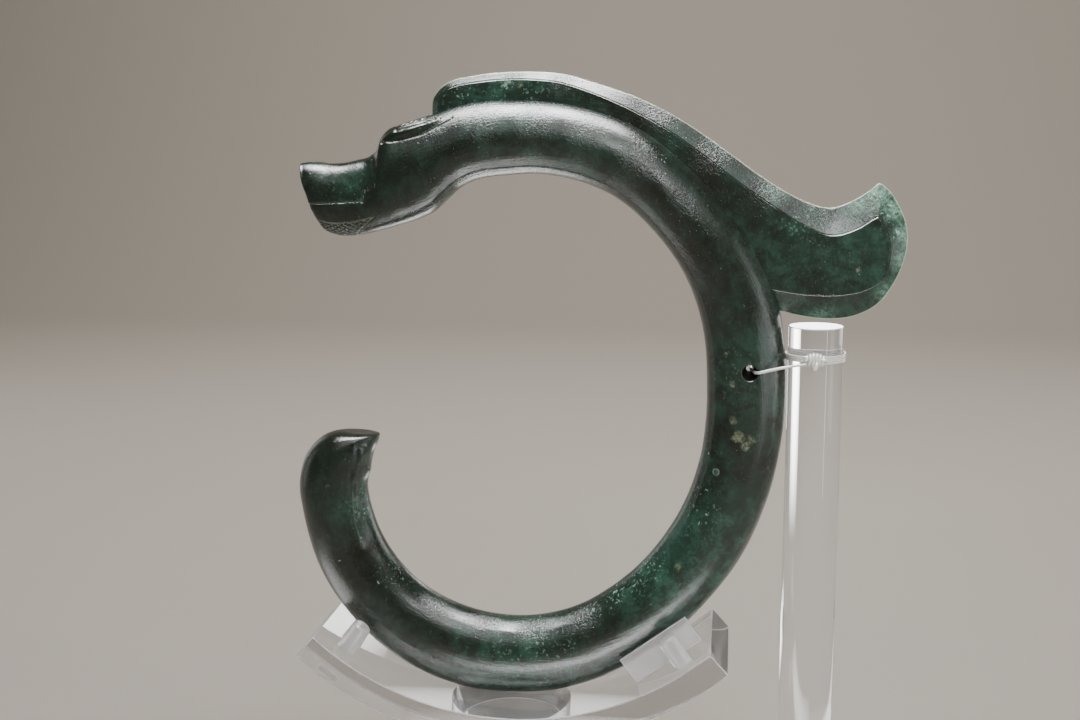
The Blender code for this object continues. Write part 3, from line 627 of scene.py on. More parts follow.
def needs_detail(point, direction, turn, settings):
    """Say how many times the faces at a point are divided: 0, 1 or 2."""
    x, y, z = point
    levels = 0
    inset = chin_net_inset(point)
    if inset > 0.0:
        levels = 2 if net_offset(x, (turn - 0.5) * SECTION_ROUND, settings) < 0.5 else 1
    elif brow_net_mask(point) > 0.0:
        levels = 1
    eye = eye_distance(point)
    flank = abs(direction.y) > 0.15
    nearest = min(mouth_offset(x, z), abs(inset), line_distance(point, EYE_LINE),
                  stretch_distance(x, z, MOUTH_CORNER) - 0.6 if flank else 9.0,
                  *(stretch_distance(x, z, line) if flank and z > LID_LOW else 9.0 for line in LID_LINES))
    if x < NOSE_BACK:
        nearest = min(nearest, abs(math.hypot(abs(y) - NOSTRIL_OUT, z - NOSTRIL_HEIGHT) - 1.2),
                      stretch_distance(x, z, NOSE_RIM) + 0.4 if flank else 9.0)
    if nearest < FINE_REACH or eye < 0.3:
        levels = max(levels, 1)
    return 2 if nearest < FINEST_REACH else levels


def carve_stone(settings):
    """Sweep the head, body and tail through their sections, and divide the faces that carry relief."""
    rings = section_rings(settings)
    bm = bmesh.new()
    bmesh.ops.create_grid(bm, x_segments=len(rings) - 1, y_segments=settings.sides, size=1.0)
    places = bm.verts.layers.float.new("place")
    turns = bm.verts.layers.float.new("turn")
    cuts = bm.verts.layers.float.new("cut")
    for vert in bm.verts:
        vert[places] = (vert.co.x + 1.0) / 2.0 * (len(rings) - 1)
        vert[turns] = (vert.co.y + 1.0) / 2.0
        vert.co = surface(rings, vert[places], vert[turns])[0]
    for level in (1, 2):
        bm.normal_update()
        edges = {}
        for face in bm.faces:
            middle = face.calc_center_median()
            turn = sum(vert[turns] for vert in face.verts) / len(face.verts)
            if on_head(middle) and needs_detail(middle, face.normal, turn, settings) >= level:
                edges.update(dict.fromkeys(face.edges))
        bmesh.ops.subdivide_edges(bm, edges=list(edges), cuts=1, use_grid_fill=True)
    for vert in bm.verts:
        point, direction = surface(rings, vert[places], vert[turns])
        height, vert[cuts] = relief(point, direction, vert[turns], settings)
        vert.co = point + direction * height
    bmesh.ops.remove_doubles(bm, verts=bm.verts, dist=0.0005)
    bmesh.ops.recalc_face_normals(bm, faces=bm.faces)
    bmesh.ops.transform(bm, matrix=TO_FRAME, verts=bm.verts)
    return bm


def mane_outline():
    """Return the mane's outline as finely spaced rows: edge point and ridge point."""
    rows = [(*edge, *ridge) for edge, ridge in MANE]
    fine = [row_at(rows, i / MANE_PARTS) for i in range(MANE_PARTS * (len(rows) - 1) + 1)]
    return fine + [[x, z, x, z] for x, z in MANE_ROOT]


def mane_profile(width):
    """Return the steps from the mane's edge to its ridge: distance in from the edge, half thickness."""
    foot = max(width - RIB_FOOT, width * 0.8)
    rise = MANE_HALF_THICK - RIB_RISE
    return ((0.0, MANE_HALF_EDGE * 0.6), (min(EDGE_CHAMFER, 0.2 * width), MANE_HALF_EDGE),
            (0.5 * foot, rise * 0.54), (foot, rise), (width, MANE_HALF_THICK))


def mane_loops():
    """Return the mane's loops on its front face from the sharp edge to the ridge, in millimetres."""
    loops = [[] for _ in mane_profile(1.0)]
    for ex, ez, rx, rz in mane_outline():
        width = math.hypot(rx - ex, rz - ez)
        for loop, (inward, half) in zip(loops, mane_profile(width)):
            share = inward / width if width else 0.0
            loop.append(Vector((ex + (rx - ex) * share, -half, ez + (rz - ez) * share)))
    return loops


def close_loop(bm, verts):
    """Return the edges round a loop of vertices, made where they are missing."""
    pairs = zip(verts, verts[1:] + verts[:1])
    return [bm.edges.get(pair) or bm.edges.new(pair) for pair in pairs]


def on_field(vert):
    """Say whether a vertex lies in the plane of the mane's field."""
    return abs(vert.co.y + MANE_HALF_THICK) < 1e-4


def carve_mane():
    """Make the mane: a sharp edge, a bevel up to a ribbed ridge, and a shallow hollow within it."""
    bm = bmesh.new()
    loops = [[bm.verts.new(point) for point in loop] for loop in mane_loops()]
    for near, far in zip(loops, loops[1:]):
        bmesh.ops.bridge_loops(bm, edges=close_loop(bm, near) + close_loop(bm, far))
    field = bmesh.ops.contextual_create(bm, geom=close_loop(bm, loops[-1]))["faces"]
    bmesh.ops.inset_region(bm, faces=field, thickness=0.35, use_even_offset=True)
    tree = point_tree([vert.co for vert in loops[-1]])
    rim = set(loops[-1])
    for normal, low, high in (((1, 0, 0), -42.0, 142.0), ((0, 0, 1), 46.0, 134.0)):
        for i in range(int((high - low) / FIELD_STEP) + 1):
            faces = [face for face in bm.faces
                     if all(on_field(vert) and vert not in rim for vert in face.verts)]
            edges = dict.fromkeys(edge for face in faces for edge in face.edges)
            verts = dict.fromkeys(vert for face in faces for vert in face.verts)
            bmesh.ops.bisect_plane(bm, geom=[*faces, *edges, *verts], dist=1e-4, plane_no=normal,
                                   plane_co=Vector(normal) * (low + i * FIELD_STEP))
    for vert in bm.verts:
        if on_field(vert) and vert not in rim:
            away = tree.find(vert.co)[2]
            vert.co.y += FIELD_DROP + FIELD_HOLLOW * (1.0 - math.exp(-away / FIELD_FADE))
    bmesh.ops.mirror(bm, geom=bm.verts[:] + bm.edges[:] + bm.faces[:], axis="Y", merge_dist=1e-5)
    bmesh.ops.bridge_loops(bm, edges=[edge for edge in bm.edges if edge.is_boundary])
    bmesh.ops.recalc_face_normals(bm, faces=bm.faces)
    bmesh.ops.transform(bm, matrix=TO_FRAME, verts=bm.verts)
    return bm


def mark_mane_ridges(mesh):
    """Keep the mane's edge and ridge lines crisp where they survive on the finished stone."""
    _, edge, _, foot, top = (loop[:(len(MANE) - 1) * MANE_PARTS] for loop in mane_loops())
    tree = point_tree([in_frame(p.x, side * p.y, p.z) for p in edge + foot + top for side in (1, -1)])
    on_line = [tree.find(vert.co)[2] < 2e-5 for vert in mesh.vertices]
    sharp = mesh.attributes["sharp_edge"].data
    for edge in mesh.edges:
        a, b = edge.vertices
        if on_line[a] and on_line[b]:
            sharp[edge.index].value = True


def new_object(name, bm, *materials):
    """Turn a bmesh into an object at the origin."""
    mesh = bpy.data.meshes.new(name)
    bm.to_mesh(mesh)
    bm.free()
    for material in materials:
        mesh.materials.append(material)
    obj = bpy.data.objects.new(name, mesh)
    bpy.context.scene.collection.objects.link(obj)
    return obj


def shade(obj, sharp_deg):
    """Shade an object smooth, with edges past sharp_deg left sharp."""
    obj.data.shade_smooth()
    obj.data.set_sharp_from_angle(angle=math.radians(sharp_deg))


def fuse(target, tool, operation):
    """Join or cut the target with a tool, and delete the tool."""
    modifier = target.modifiers.new(operation.lower(), "BOOLEAN")
    modifier.operation = operation
    modifier.solver = "EXACT"
    modifier.object = tool
    bpy.context.view_layer.update()
    seen = target.evaluated_get(bpy.context.evaluated_depsgraph_get())
    mesh = bpy.data.meshes.new_from_object(seen)
    target.modifiers.clear()
    old, target.data = target.data, mesh
    mesh.name = target.name
    bpy.data.meshes.remove(old)
    bpy.data.objects.remove(tool, do_unlink=True)


def turned(profile, start, end, sides):
    """Spin a profile of radius and height about the line from start to end."""
    bm = bmesh.new()
    points = [bm.verts.new((radius, 0.0, height)) for radius, height in profile]
    for below, above in zip(points, points[1:]):
        bm.edges.new((below, above))
    bmesh.ops.spin(bm, geom=bm.verts[:] + bm.edges[:], axis=(0, 0, 1), cent=(0, 0, 0),
                   angle=math.tau, steps=sides, use_merge=True)
    bmesh.ops.remove_doubles(bm, verts=bm.verts, dist=1e-6)
    turn = Vector((0, 0, 1)).rotation_difference(end - start).to_matrix().to_4x4()
    bmesh.ops.transform(bm, matrix=Matrix.Translation(start) @ turn, verts=bm.verts)
    bmesh.ops.recalc_face_normals(bm, faces=bm.faces)
    return bm


def hole_drill(settings):
    """Make the hourglass that drills the hanging hole from both faces."""
    face, neck_half = BODY_HALF_DEPTH * STONE, HOLE_NECK_LENGTH / 2.0
    reach, mouth, neck = face * 1.1, settings.hole_mouth / 2.0, settings.hole_neck / 2.0
    turns = [math.pi / 2.0 * i / 6 for i in range(7)]
    lip = [(mouth - HOLE_LIP * math.cos(a), face - HOLE_LIP * (1.0 - math.sin(a))) for a in turns]
    half = [(neck, neck_half), *lip, (mouth, reach), (0.0, reach)]
    profile = [(radius, -out) for radius, out in reversed(half)] + half
    back = HOLE_MIDDLE + Vector((0.0, reach, 0.0))
    return new_object("hole drill", turned(profile, HOLE_MIDDLE, back, HOLE_SIDES))


def paint_bore_shade(mesh, settings):
    """Give the wall of the hanging hole the dark finish that paints the shade inside it, inside the lip."""
    deep = BODY_HALF_DEPTH * STONE - HOLE_LIP * 0.6
    for face in mesh.polygons:
        away = math.hypot(face.center.x - HOLE_MIDDLE.x, face.center.z - HOLE_MIDDLE.z)
        if away < settings.hole_mouth * 0.49 and abs(face.center.y) < deep:
            face.material_index = 1


def mark_thin_edges(mesh):
    """Store how thin the stone is near the mane's edge, and keep the cut lines' mark to the head's side."""
    rows = [(row[0], row[1]) for row in mane_outline()[:-len(MANE_ROOT)]]
    dense = [Vector(a).lerp(Vector(b), i / 10) for a, b in zip(rows, rows[1:]) for i in range(10)]
    tree = point_tree([in_frame(x, 0.0, z) for x, z in dense])
    thin, cut = mesh.attributes.new("thin", "FLOAT", "POINT"), mesh.attributes["cut"]
    for vert, thin_mark, cut_mark in zip(mesh.vertices, thin.data, cut.data):
        away = tree.find((vert.co.x, 0.0, vert.co.z))[2] / STONE
        thin_mark.value = ridge(away, 1.0, THIN_REACH) * smooth(5.0, 3.0, abs(vert.co.y) / STONE)
        if vert.co.x > 0.0:
            cut_mark.value = 0.0


class Wire:
    """A shader value; sums and products of it add Math nodes."""

    def __init__(self, kit, socket):
        self.kit, self.socket = kit, socket

    def __add__(self, other):
        return self.kit.maths("ADD", self, other)

    def __sub__(self, other):
        return self.kit.maths("SUBTRACT", self, other)

    def __rsub__(self, other):
        return self.kit.maths("SUBTRACT", other, self)

    def __mul__(self, other):
        return self.kit.maths("MULTIPLY", self, other)

    def __pow__(self, other):
        return self.kit.maths("POWER", self, other)

    __radd__ = __add__
    __rmul__ = __mul__


class Finish:
    """A material or light under construction: its shader and the nodes that feed it."""

    def __init__(self, owner, shader, values):
        owner.use_nodes = True
        self.owner, self.tree = owner, owner.node_tree
        self.shader = self.tree.nodes[shader]
        for socket, value in values.items():
            self.shader.inputs[socket].default_value = value

    def node(self, kind, settings=None, sockets=None, out=0):
        """Add a node: its settings first, then the values or links of its sockets."""
        node = self.tree.nodes.new("ShaderNode" + kind)
        for key, value in (settings or {}).items():
            if key == "stops":
                self.set_stops(node.color_ramp, value)
            else:
                setattr(node, key, value)
        for key, value in (sockets or {}).items():
            self.feed(node.inputs[key], value)
        return Wire(self, node.outputs[out])

    def set_stops(self, ramp, stops):
        """Give a colour ramp its stops: position and grey value."""
        while len(ramp.elements) < len(stops):
            ramp.elements.new(1.0)
        for element, (position, value) in zip(ramp.elements, stops):
            element.position = position
            element.color = (value, value, value, 1.0)

    def feed(self, socket, value):
        """Link a wire to a socket, or set the socket's value."""
        if isinstance(value, Wire):
            self.tree.links.new(value.socket, socket)
        else:
            socket.default_value = value

    def maths(self, operation, *values):
        """Add a Math node."""
        return self.node("Math", {"operation": operation}, dict(enumerate(values)))

    def mix(self, factor, first, second):
        """Mix two colours."""
        node = self.tree.nodes.new("ShaderNodeMix")
        node.data_type = "RGBA"
        for name, value in (("Factor_Float", factor), ("A_Color", first), ("B_Color", second)):
            self.feed(next(s for s in node.inputs if s.identifier == name), value)
        return Wire(self, next(s for s in node.outputs if s.identifier == "Result_Color"))

    def ramp(self, value, *stops):
        """Pass a value through a grey ramp."""
        return self.node("ValToRGB", {"stops": stops}, {"Fac": value})

    def noise(self, place, scale, detail=3.0, rough=0.55, warp=0.0):
        """Return a cloud of noise at a scale given as the size of its clouds."""
        return self.node("TexNoise", {}, {"Vector": place, "Scale": 1.0 / scale, "Detail": detail,
                                          "Roughness": rough, "Distortion": warp})

    def patches(self, place, scale, low, high, *more):
        """Return patches of noise: 0 where it is under low, rising to 1 at high."""
        return self.ramp(self.noise(place, scale, *more), (low, 0.0), (high, 1.0))

    def vector(self, operation, first, second, out=0):
        """Add a Vector Math node."""
        return self.node("VectorMath", {"operation": operation}, {0: first, 1: second}, out)

    def near(self, place, x, y, z, reach):
        """Return 1 at a point of the carving, falling softly to 0 at a reach in millimetres."""
        away = self.vector("DISTANCE", place, in_frame(x, y, z), 1)
        return self.node("MapRange", {"interpolation_type": "SMOOTHSTEP"}, {
            "Value": away, "From Min": 0.0, "From Max": reach * STONE, "To Min": 1.0, "To Max": 0.0})

    def marks(self, place, table):
        """Return the strongest of a table of marks: point, reach, strength."""
        total = 0.0
        for x, y, z, reach, strength in table:
            mark = self.near(place, x, y, z, reach) * strength
            total = mark if total == 0.0 else self.maths("MAXIMUM", total, mark)
        return total

    def set(self, socket, wire):
        """Feed one of the shader's own sockets."""
        self.feed(self.shader.inputs[socket], wire)


def new_finish(name, values):
    """Start a material of its own."""
    return Finish(bpy.data.materials.new(name), "Principled BSDF", values)


# Where the stone runs greener: point, reach and strength
GREEN_REGIONS = (
    (58.0, -4.0, -62.0, 50.0, 1.0),
    (66.0, -4.0, -22.0, 26.0, 0.4),
    (-12.0, -6.0, -96.0, 44.0, 0.45),
    (-72.0, -8.0, -45.0, 18.0, 0.8),
    (-12.0, 0.0, 130.0, 34.0, 0.8),
    (6.0, -6.0, 100.0, 34.0, 0.3),
    (128.0, 0.0, 62.0, 26.0, 0.3),
    (96.0, -8.0, 66.0, 30.0, 0.25),
    (-76.0, -9.0, 90.0, 12.0, 0.8),
    (-90.0, -8.0, 98.0, 12.0, 0.5),
    (80.0, -8.0, 10.0, 34.0, 0.2),
)
# Where small pale specks crowd: point, reach and strength
SPECK_REGIONS = (
    (48.0, -8.0, -64.0, 11.0, 1.0), (41.0, -8.0, -71.0, 11.0, 1.0), (33.0, -6.0, -78.0, 10.0, 1.0),
    (22.0, -6.0, -84.0, 9.0, 0.8), (-14.0, -3.6, 130.5, 10.0, 1.0), (0.0, -3.6, 131.0, 12.0, 0.7),
    (-30.0, -3.6, 126.0, 12.0, 0.6), (66.0, -9.0, -40.0, 16.0, 0.5), (78.0, -9.0, 16.0, 22.0, 0.12),
    (104.0, -3.6, 78.0, 9.0, 0.35), (138.0, -2.0, 84.0, 14.0, 0.9), (112.0, -3.6, 72.0, 10.0, 0.12),
    (-70.0, -8.0, -44.0, 12.0, 0.6), (-56.0, -8.0, -70.0, 14.0, 0.5), (-76.0, -9.0, 92.0, 12.0, 0.35),
    (-88.0, -6.0, 98.0, 8.0, 0.5), (-44.0, -9.0, 117.0, 10.0, 0.4), (0.0, -8.0, -96.0, 30.0, 0.4),
)
# Where pale veined jade shows on the mane's tip and edge: point, reach and strength
PALE_TIP = (
    (136.5, 0.0, 90.0, 13.0, 1.0), (142.0, 0.0, 82.0, 9.0, 1.0), (146.0, 0.0, 72.0, 8.0, 0.9),
    (146.0, 0.0, 62.0, 8.0, 0.7), (128.0, 0.0, 84.0, 9.0, 0.7), (140.0, 0.0, 49.0, 8.0, 0.5),
    (116.0, 0.0, 39.0, 9.0, 0.35), (96.0, 0.0, 88.0, 9.0, 0.35),
)

# Olive and pale inclusions: point, reach and strength
OLIVE_MARKS = (
    (82.9, -12.9, -8.7, 3.6, 1.0), (85.8, -13.0, -12.6, 3.2, 1.0), (80.8, -12.3, -2.4, 2.6, 0.7),
    (88.0, -12.6, -10.0, 3.0, 0.6), (80.1, -12.2, 12.7, 2.2, 0.8), (81.7, -12.6, 9.1, 1.2, 1.0),
    (77.5, -11.4, 25.0, 1.3, 0.7), (59.8, -12.3, -63.6, 2.8, 0.8), (-5.8, -3.4, 130.4, 2.0, 0.9),
    (129.0, -3.0, 58.0, 2.0, 0.8), (-74.9, -8.8, -40.8, 2.4, 0.5), (-86.0, -12.0, -34.0, 2.4, 0.4),
)
PALE_MARKS = (
    (-11.5, -3.3, 131.6, 1.8, 1.0), (-12.6, -3.3, 130.2, 1.5, 0.8), (143.7, -1.9, 73.1, 1.9, 1.0),
    (142.4, -2.2, 71.4, 1.2, 0.8), (71.0, -7.3, -16.8, 0.7, 1.0), (70.5, -10.1, -31.6, 0.7, 0.9),
    (71.1, -12.0, -41.0, 1.1, 0.7), (49.7, -7.9, -64.1, 1.0, 0.9), (44.1, -8.3, -71.0, 1.2, 0.9),
    (34.0, -5.8, -77.4, 1.6, 0.9), (36.8, -6.6, -75.6, 1.2, 0.8), (68.4, -11.7, -45.0, 1.0, 0.6),
    (-75.5, -10.8, -52.4, 0.8, 1.0), (-81.7, -12.8, -65.9, 0.9, 0.7), (-65.4, -11.4, -74.9, 0.8, 0.8),
    (-73.1, -10.3, -56.4, 1.4, 0.6),
)
# Where handling has dulled the polish: point, reach and strength
WORN_REGIONS = (
    (-38.0, -5.0, 110.0, 14.0, 0.6), (-20.0, -5.0, 112.0, 16.0, 1.0), (0.0, -5.0, 112.0, 16.0, 1.0),
    (20.0, -5.0, 108.0, 16.0, 1.0), (40.0, -6.0, 98.0, 16.0, 1.0), (58.0, -7.0, 84.0, 14.0, 0.7),
    (-30.0, -3.0, 134.0, 9.0, 0.9), (-10.0, -3.0, 135.0, 10.0, 0.9), (10.0, -3.0, 132.0, 10.0, 0.6),
    (50.0, -2.0, 120.0, 12.0, 0.8), (72.0, -2.0, 104.0, 14.0, 0.9), (94.0, -2.0, 90.0, 14.0, 0.9),
    (114.0, -2.0, 86.0, 14.0, 1.0), (130.0, -2.0, 86.0, 12.0, 0.9), (-86.0, -5.0, 101.0, 6.0, 1.0),
    (-40.0, -8.0, -82.0, 14.0, 0.7), (-20.0, -8.0, -88.0, 14.0, 1.0), (0.0, -8.0, -92.0, 14.0, 1.0),
    (20.0, -8.0, -88.0, 14.0, 0.7), (-72.0, -8.0, -45.0, 12.0, 0.5),
)
RING_PIT, RING_PIT_RADIUS = (74.4, -11.1, -23.7), 0.00135
OUTLINE_SHIFT = 0.0036
BUMP_HEIGHT = 0.0001


def jade_finish(settings):
    """Nephrite: nearly black green with greener regions, flecks, inclusions and pits under a polish. Painted
    light: the mane's thin edge runs emerald with a cream line, and the carved lines are lightened as a
    painted highlight.
    """
    kit = new_finish("polished nephrite", {"IOR": 1.6})
    place = kit.node("TexCoord", out=3)
    wander = kit.node("TexNoise", {}, {"Vector": place, "Scale": 420.0, "Detail": 2.0}, 1)
    shift = kit.vector("MULTIPLY", kit.vector("SUBTRACT", wander, (0.5, 0.5, 0.5)), (OUTLINE_SHIFT,) * 3)
    rough_place = kit.vector("ADD", place, shift)
    clouds = kit.patches(place, 0.020, 0.40, 0.70, 5.0, 0.6, 0.3)
    mottle = kit.patches(place, 0.0065, 0.44, 0.66, 6.0, 0.72, 0.4)
    grain = kit.noise(place, 0.0008, 3.0, 0.7)
    region = kit.marks(place, GREEN_REGIONS)
    thin = kit.node("Attribute", {"attribute_name": "thin"}, out=2)
    colour = kit.mix(clouds * 0.4 + region * (0.45 + clouds * 0.4), settings.deep, settings.green)
    # Emerald clouds are the stone's own, but near the mane's thin edge they are painted light passing through
    # the stone
    colour = kit.mix(mottle * (0.06 + clouds * 0.10 + region * 0.55 + thin * 0.3), colour, settings.emerald)
    tip = kit.marks(place, PALE_TIP)
    veins = kit.patches(place, 0.0018, 0.44, 0.58, 5.0, 0.8, 0.5)
    colour = kit.mix(tip * (0.18 + veins * 0.75), colour, settings.jade_pale)
    crowd = kit.marks(place, SPECK_REGIONS)
    chips = kit.patches(place, 0.0013, 0.58, 0.66, 2.0, 0.6)
    patchy = kit.patches(place, 0.006, 0.42, 0.58, 3.0, 0.6)
    flecks = chips * (crowd * (0.35 + patchy * 0.65) + patchy * 0.03)
    colour = kit.mix(flecks * 0.9, colour, settings.pale)
    olive = kit.marks(rough_place, OLIVE_MARKS)
    broken = kit.patches(place, 0.0012, 0.40, 0.58, 4.0, 0.7)
    stain = kit.ramp(olive, (0.12, 0.0), (0.60, 1.0))
    colour = kit.mix(stain * (0.15 + broken * 0.75), colour, settings.olive)
    pale = kit.marks(rough_place, PALE_MARKS)
    away = kit.vector("DISTANCE", place, in_frame(*RING_PIT), 1) * (1.0 / RING_PIT_RADIUS)
    ring = kit.ramp(away * 0.5, (0.28, 0.35), (0.42, 1.0), (0.52, 0.9), (0.66, 0.0))
    pale = kit.maths("MAXIMUM", kit.ramp(pale, (0.2, 0.0), (0.5, 1.0)), ring * 0.42)
    colour = kit.mix(pale * (0.2 + broken * 0.6), colour, settings.pale)
    # A cream line along the mane's sharp edge: painted light passing through the thin stone
    rim = kit.ramp(thin, (0.965, 0.0), (0.992, 1.0))
    colour = kit.mix(rim * 0.75, colour, settings.painted_edge_light)
    # Carved lines lightened towards olive: a painted highlight standing in for glints on the groove edges
    cut = kit.ramp(kit.node("Attribute", {"attribute_name": "cut"}, out=2), (0.08, 0.0), (0.30, 1.0))
    colour = kit.mix(cut * (0.25 + broken * 0.35), colour, settings.olive)
    kit.set("Base Color", colour)
    worn = kit.marks(place, WORN_REGIONS)
    fret = kit.patches(place, 0.0011, 0.44, 0.60, 3.0, 0.75) * worn
    kit.set("Roughness", settings.polish + grain * 0.08 + fret * 0.14 + worn * 0.04 + mottle * 0.05
            + flecks * 0.2 + olive * 0.1 + tip * 0.22 + cut * 0.25)
    centred = kit.vector("SUBTRACT", place, MIDDLE)
    x, y, z = (kit.node("SeparateXYZ", {}, {"Vector": centred}, axis) for axis in "XYZ")
    round_c = kit.maths("ARCTAN2", z, x) * 0.1
    away_c = kit.maths("SQRT", x * x + z * z)
    along = kit.node("CombineXYZ", {}, {"X": round_c * 90.0, "Y": y * 1500.0, "Z": away_c * 1500.0})
    streaks = kit.node("TexNoise", {}, {"Vector": along, "Scale": 1.0, "Detail": 3.0, "Roughness": 0.6})
    pores = kit.node("TexVoronoi", {}, {"Vector": place, "Scale": 620.0, "Randomness": 1.0})
    pitted = kit.patches(place, 0.0035, 0.46, 0.60, 2.0)
    pits = kit.ramp(pores, (0.0, 0.0), (0.20, 1.0))
    height = (grain * (0.8 + worn * 0.8) + fret * 1.1 + streaks * 0.8
              - (1.0 - pits) * (pitted + worn * 0.5) * 1.4
              - kit.ramp(away * 0.5, (0.2, 1.0), (0.5, 0.0)) * 1.6)
    kit.set("Normal", kit.node("Bump", {}, {"Strength": 1.0, "Distance": BUMP_HEIGHT, "Height": height}))
    return kit.owner


def bore_shade_finish(settings):
    """The drilled wall of the hole: rough, and painted nearly black for the shade inside it."""
    kit = new_finish("painted shade bore", {"IOR": 1.3})
    place = kit.node("TexCoord", out=3)
    rings = kit.noise(place, 0.0008, 2.0)
    kit.set("Base Color", kit.mix(rings, settings.deep, (0.004, 0.005, 0.004, 1.0)))
    kit.set("Roughness", 0.55 + rings * 0.3)
    return kit.owner


def acrylic_kit(name, clarity, settings):
    """Start a finish of acrylic that passes a share of the light."""
    return new_finish(name, {"Base Color": settings.clear, "Transmission Weight": clarity,
                             "IOR": settings.index})


def edge_finish(settings):
    """Sawn and flamed acrylic: the narrow edges that catch the light."""
    kit = acrylic_kit("acrylic edge", 0.25, settings)
    place = kit.node("TexCoord", out=3)
    kit.set("Roughness", 0.22 + kit.noise(place, 0.004) * 0.2)
    return kit.owner


def worked_finish(settings):
    """Small sawn and glued pieces of acrylic: still see-through, but whitened by their worked faces."""
    kit = acrylic_kit("worked acrylic", 0.62, settings)
    place = kit.node("TexCoord", out=3)
    cloudy = kit.noise(place, 0.006, 3.0, 0.6)
    kit.set("Roughness", 0.04 + cloudy * 0.14)
    return kit.owner


def acrylic_finish(settings):
    """Clear cast acrylic, polished, with the faint unevenness of handling."""
    kit = acrylic_kit("clear acrylic", settings.clarity, settings)
    place = kit.node("TexCoord", out=3)
    smears = kit.patches(place, 0.018, 0.45, 0.8, 4.0, 0.6)
    kit.set("Roughness", 0.01 + smears * 0.03)
    return kit.owner


def thread_finish(settings):
    """Pale nylon thread."""
    kit = new_finish("nylon thread", {"Base Color": settings.thread, "Coat Weight": 1.0, "Sheen Weight": 0.3})
    place = kit.node("TexCoord", out=3)
    kit.set("Roughness", 0.15 + kit.noise(place, 0.0008) * 0.2)
    return kit.owner


def floor_finish(settings):
    """Plain pale stage paint."""
    return new_finish("stage paint", {"Base Color": settings.floor, "Roughness": 0.75}).owner


def shared_finish(name, make, settings):
    """Return a finish that several pieces share, made once."""
    return bpy.data.materials.get(name) or make(settings)


def mark_chamfers(bm):
    """Give the narrow sloping faces of an upright turned piece the edge finish."""
    bm.normal_update()
    for face in bm.faces:
        if 0.3 < abs(face.normal.z) < 0.95:
            face.material_index = 1


class DRESS_OT_dragon(bpy.types.Operator):
    """Carve the dragon at full detail from one stone"""

    bl_idname = "dress.dragon"
    bl_label = "Jade dragon"

    def execute(self, context):
        settings, jade = context.scene.dragon_carving, context.scene.dragon_jade
        stone = new_object("jade_carving", carve_stone(settings), jade_finish(jade))
        fuse(stone, new_object("mane form", carve_mane()), "UNION")
        fuse(stone, hole_drill(settings), "DIFFERENCE")
        # The wall of the hole gets a near-black finish: painted shade
        stone.data.materials.append(bore_shade_finish(jade))
        paint_bore_shade(stone.data, settings)
        mark_thin_edges(stone.data)
        shade(stone, STONE_SHARP)
        mark_mane_ridges(stone.data)
        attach(stone, "root")
        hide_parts("jade_dragon")
        return {"FINISHED"}


def acrylic_piece(context, name, bm, node, finish=("clear acrylic", acrylic_finish)):
    """Finish one clear piece of the stand in place of its solid."""
    bmesh.ops.recalc_face_normals(bm, faces=bm.faces)
    stand = context.scene.dragon_stand
    obj = new_object(name, bm, shared_finish(*finish, stand),
                     shared_finish("acrylic edge", edge_finish, stand))
    shade(obj, ACRYLIC_SHARP)
    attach(obj, "root")
    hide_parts(node)
    return obj


def saddle_radii():
    """Return the saddle's inner and outer radius and its axis, from its solid's lowest point."""
    axis = in_frame(SADDLE_AXIS[0], 0.0, SADDLE_AXIS[1])
    outer = axis.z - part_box("saddle")[0].z
    return outer - SADDLE_WALL, outer, axis


def upright(node):
    """Return the foot, radius and height of an upright round solid."""
    low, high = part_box(node)
    return Vector(((low.x + high.x) / 2.0, 0.0, low.z)), (high.x - low.x) / 2.0, high.z - low.z


def block(size):
    """Return a block about the origin."""
    bm = bmesh.new()
    bmesh.ops.create_cube(bm, size=1.0)
    bmesh.ops.scale(bm, vec=size, verts=bm.verts)
    return bm


def round_edges(bm, edges, width, segments):
    """Round edges by a width, and return the new narrow faces."""
    return bmesh.ops.bevel(bm, geom=edges, offset=width, offset_type="OFFSET", segments=segments, profile=0.5,
                           affect="EDGES", material=-1)["faces"]


def bevel_all(bm, width, segments=2, sharp_deg=30.0):
    """Round every edge past sharp_deg by a small width."""
    edges = [edge for edge in bm.edges if len(edge.link_faces) == 2
             and edge.calc_face_angle(0.0) > math.radians(sharp_deg)]
    for face in round_edges(bm, edges, width, segments):
        face.material_index = 1


class DRESS_OT_saddle(bpy.types.Operator):
    """Bend the clear saddle that the dragon lies in"""

    bl_idname = "dress.saddle"
    bl_label = "Saddle"

    def execute(self, context):
        inner, outer, axis = saddle_radii()
        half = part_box("saddle")[1].y
        bm = bmesh.new()
        section = [bm.verts.new((0.0, y, -r)) for y, r in
                   ((-half, inner), (half, inner), (half, outer), (-half, outer))]
        bm.faces.new(section)
        bmesh.ops.rotate(bm, cent=(0, 0, 0), matrix=Matrix.Rotation(SADDLE_HALF_ANGLE, 3, "Y"),
                         verts=bm.verts)
        bmesh.ops.spin(bm, geom=bm.verts[:] + bm.edges[:] + bm.faces[:], axis=(0, 1, 0), cent=(0, 0, 0),
                       angle=-2.0 * SADDLE_HALF_ANGLE, steps=SADDLE_STEPS)
        bmesh.ops.recalc_face_normals(bm, faces=bm.faces)
        bevel_all(bm, context.scene.dragon_stand.edge)
        bmesh.ops.translate(bm, vec=axis, verts=bm.verts)
        acrylic_piece(context, "clear_saddle", bm, "saddle")
        return {"FINISHED"}


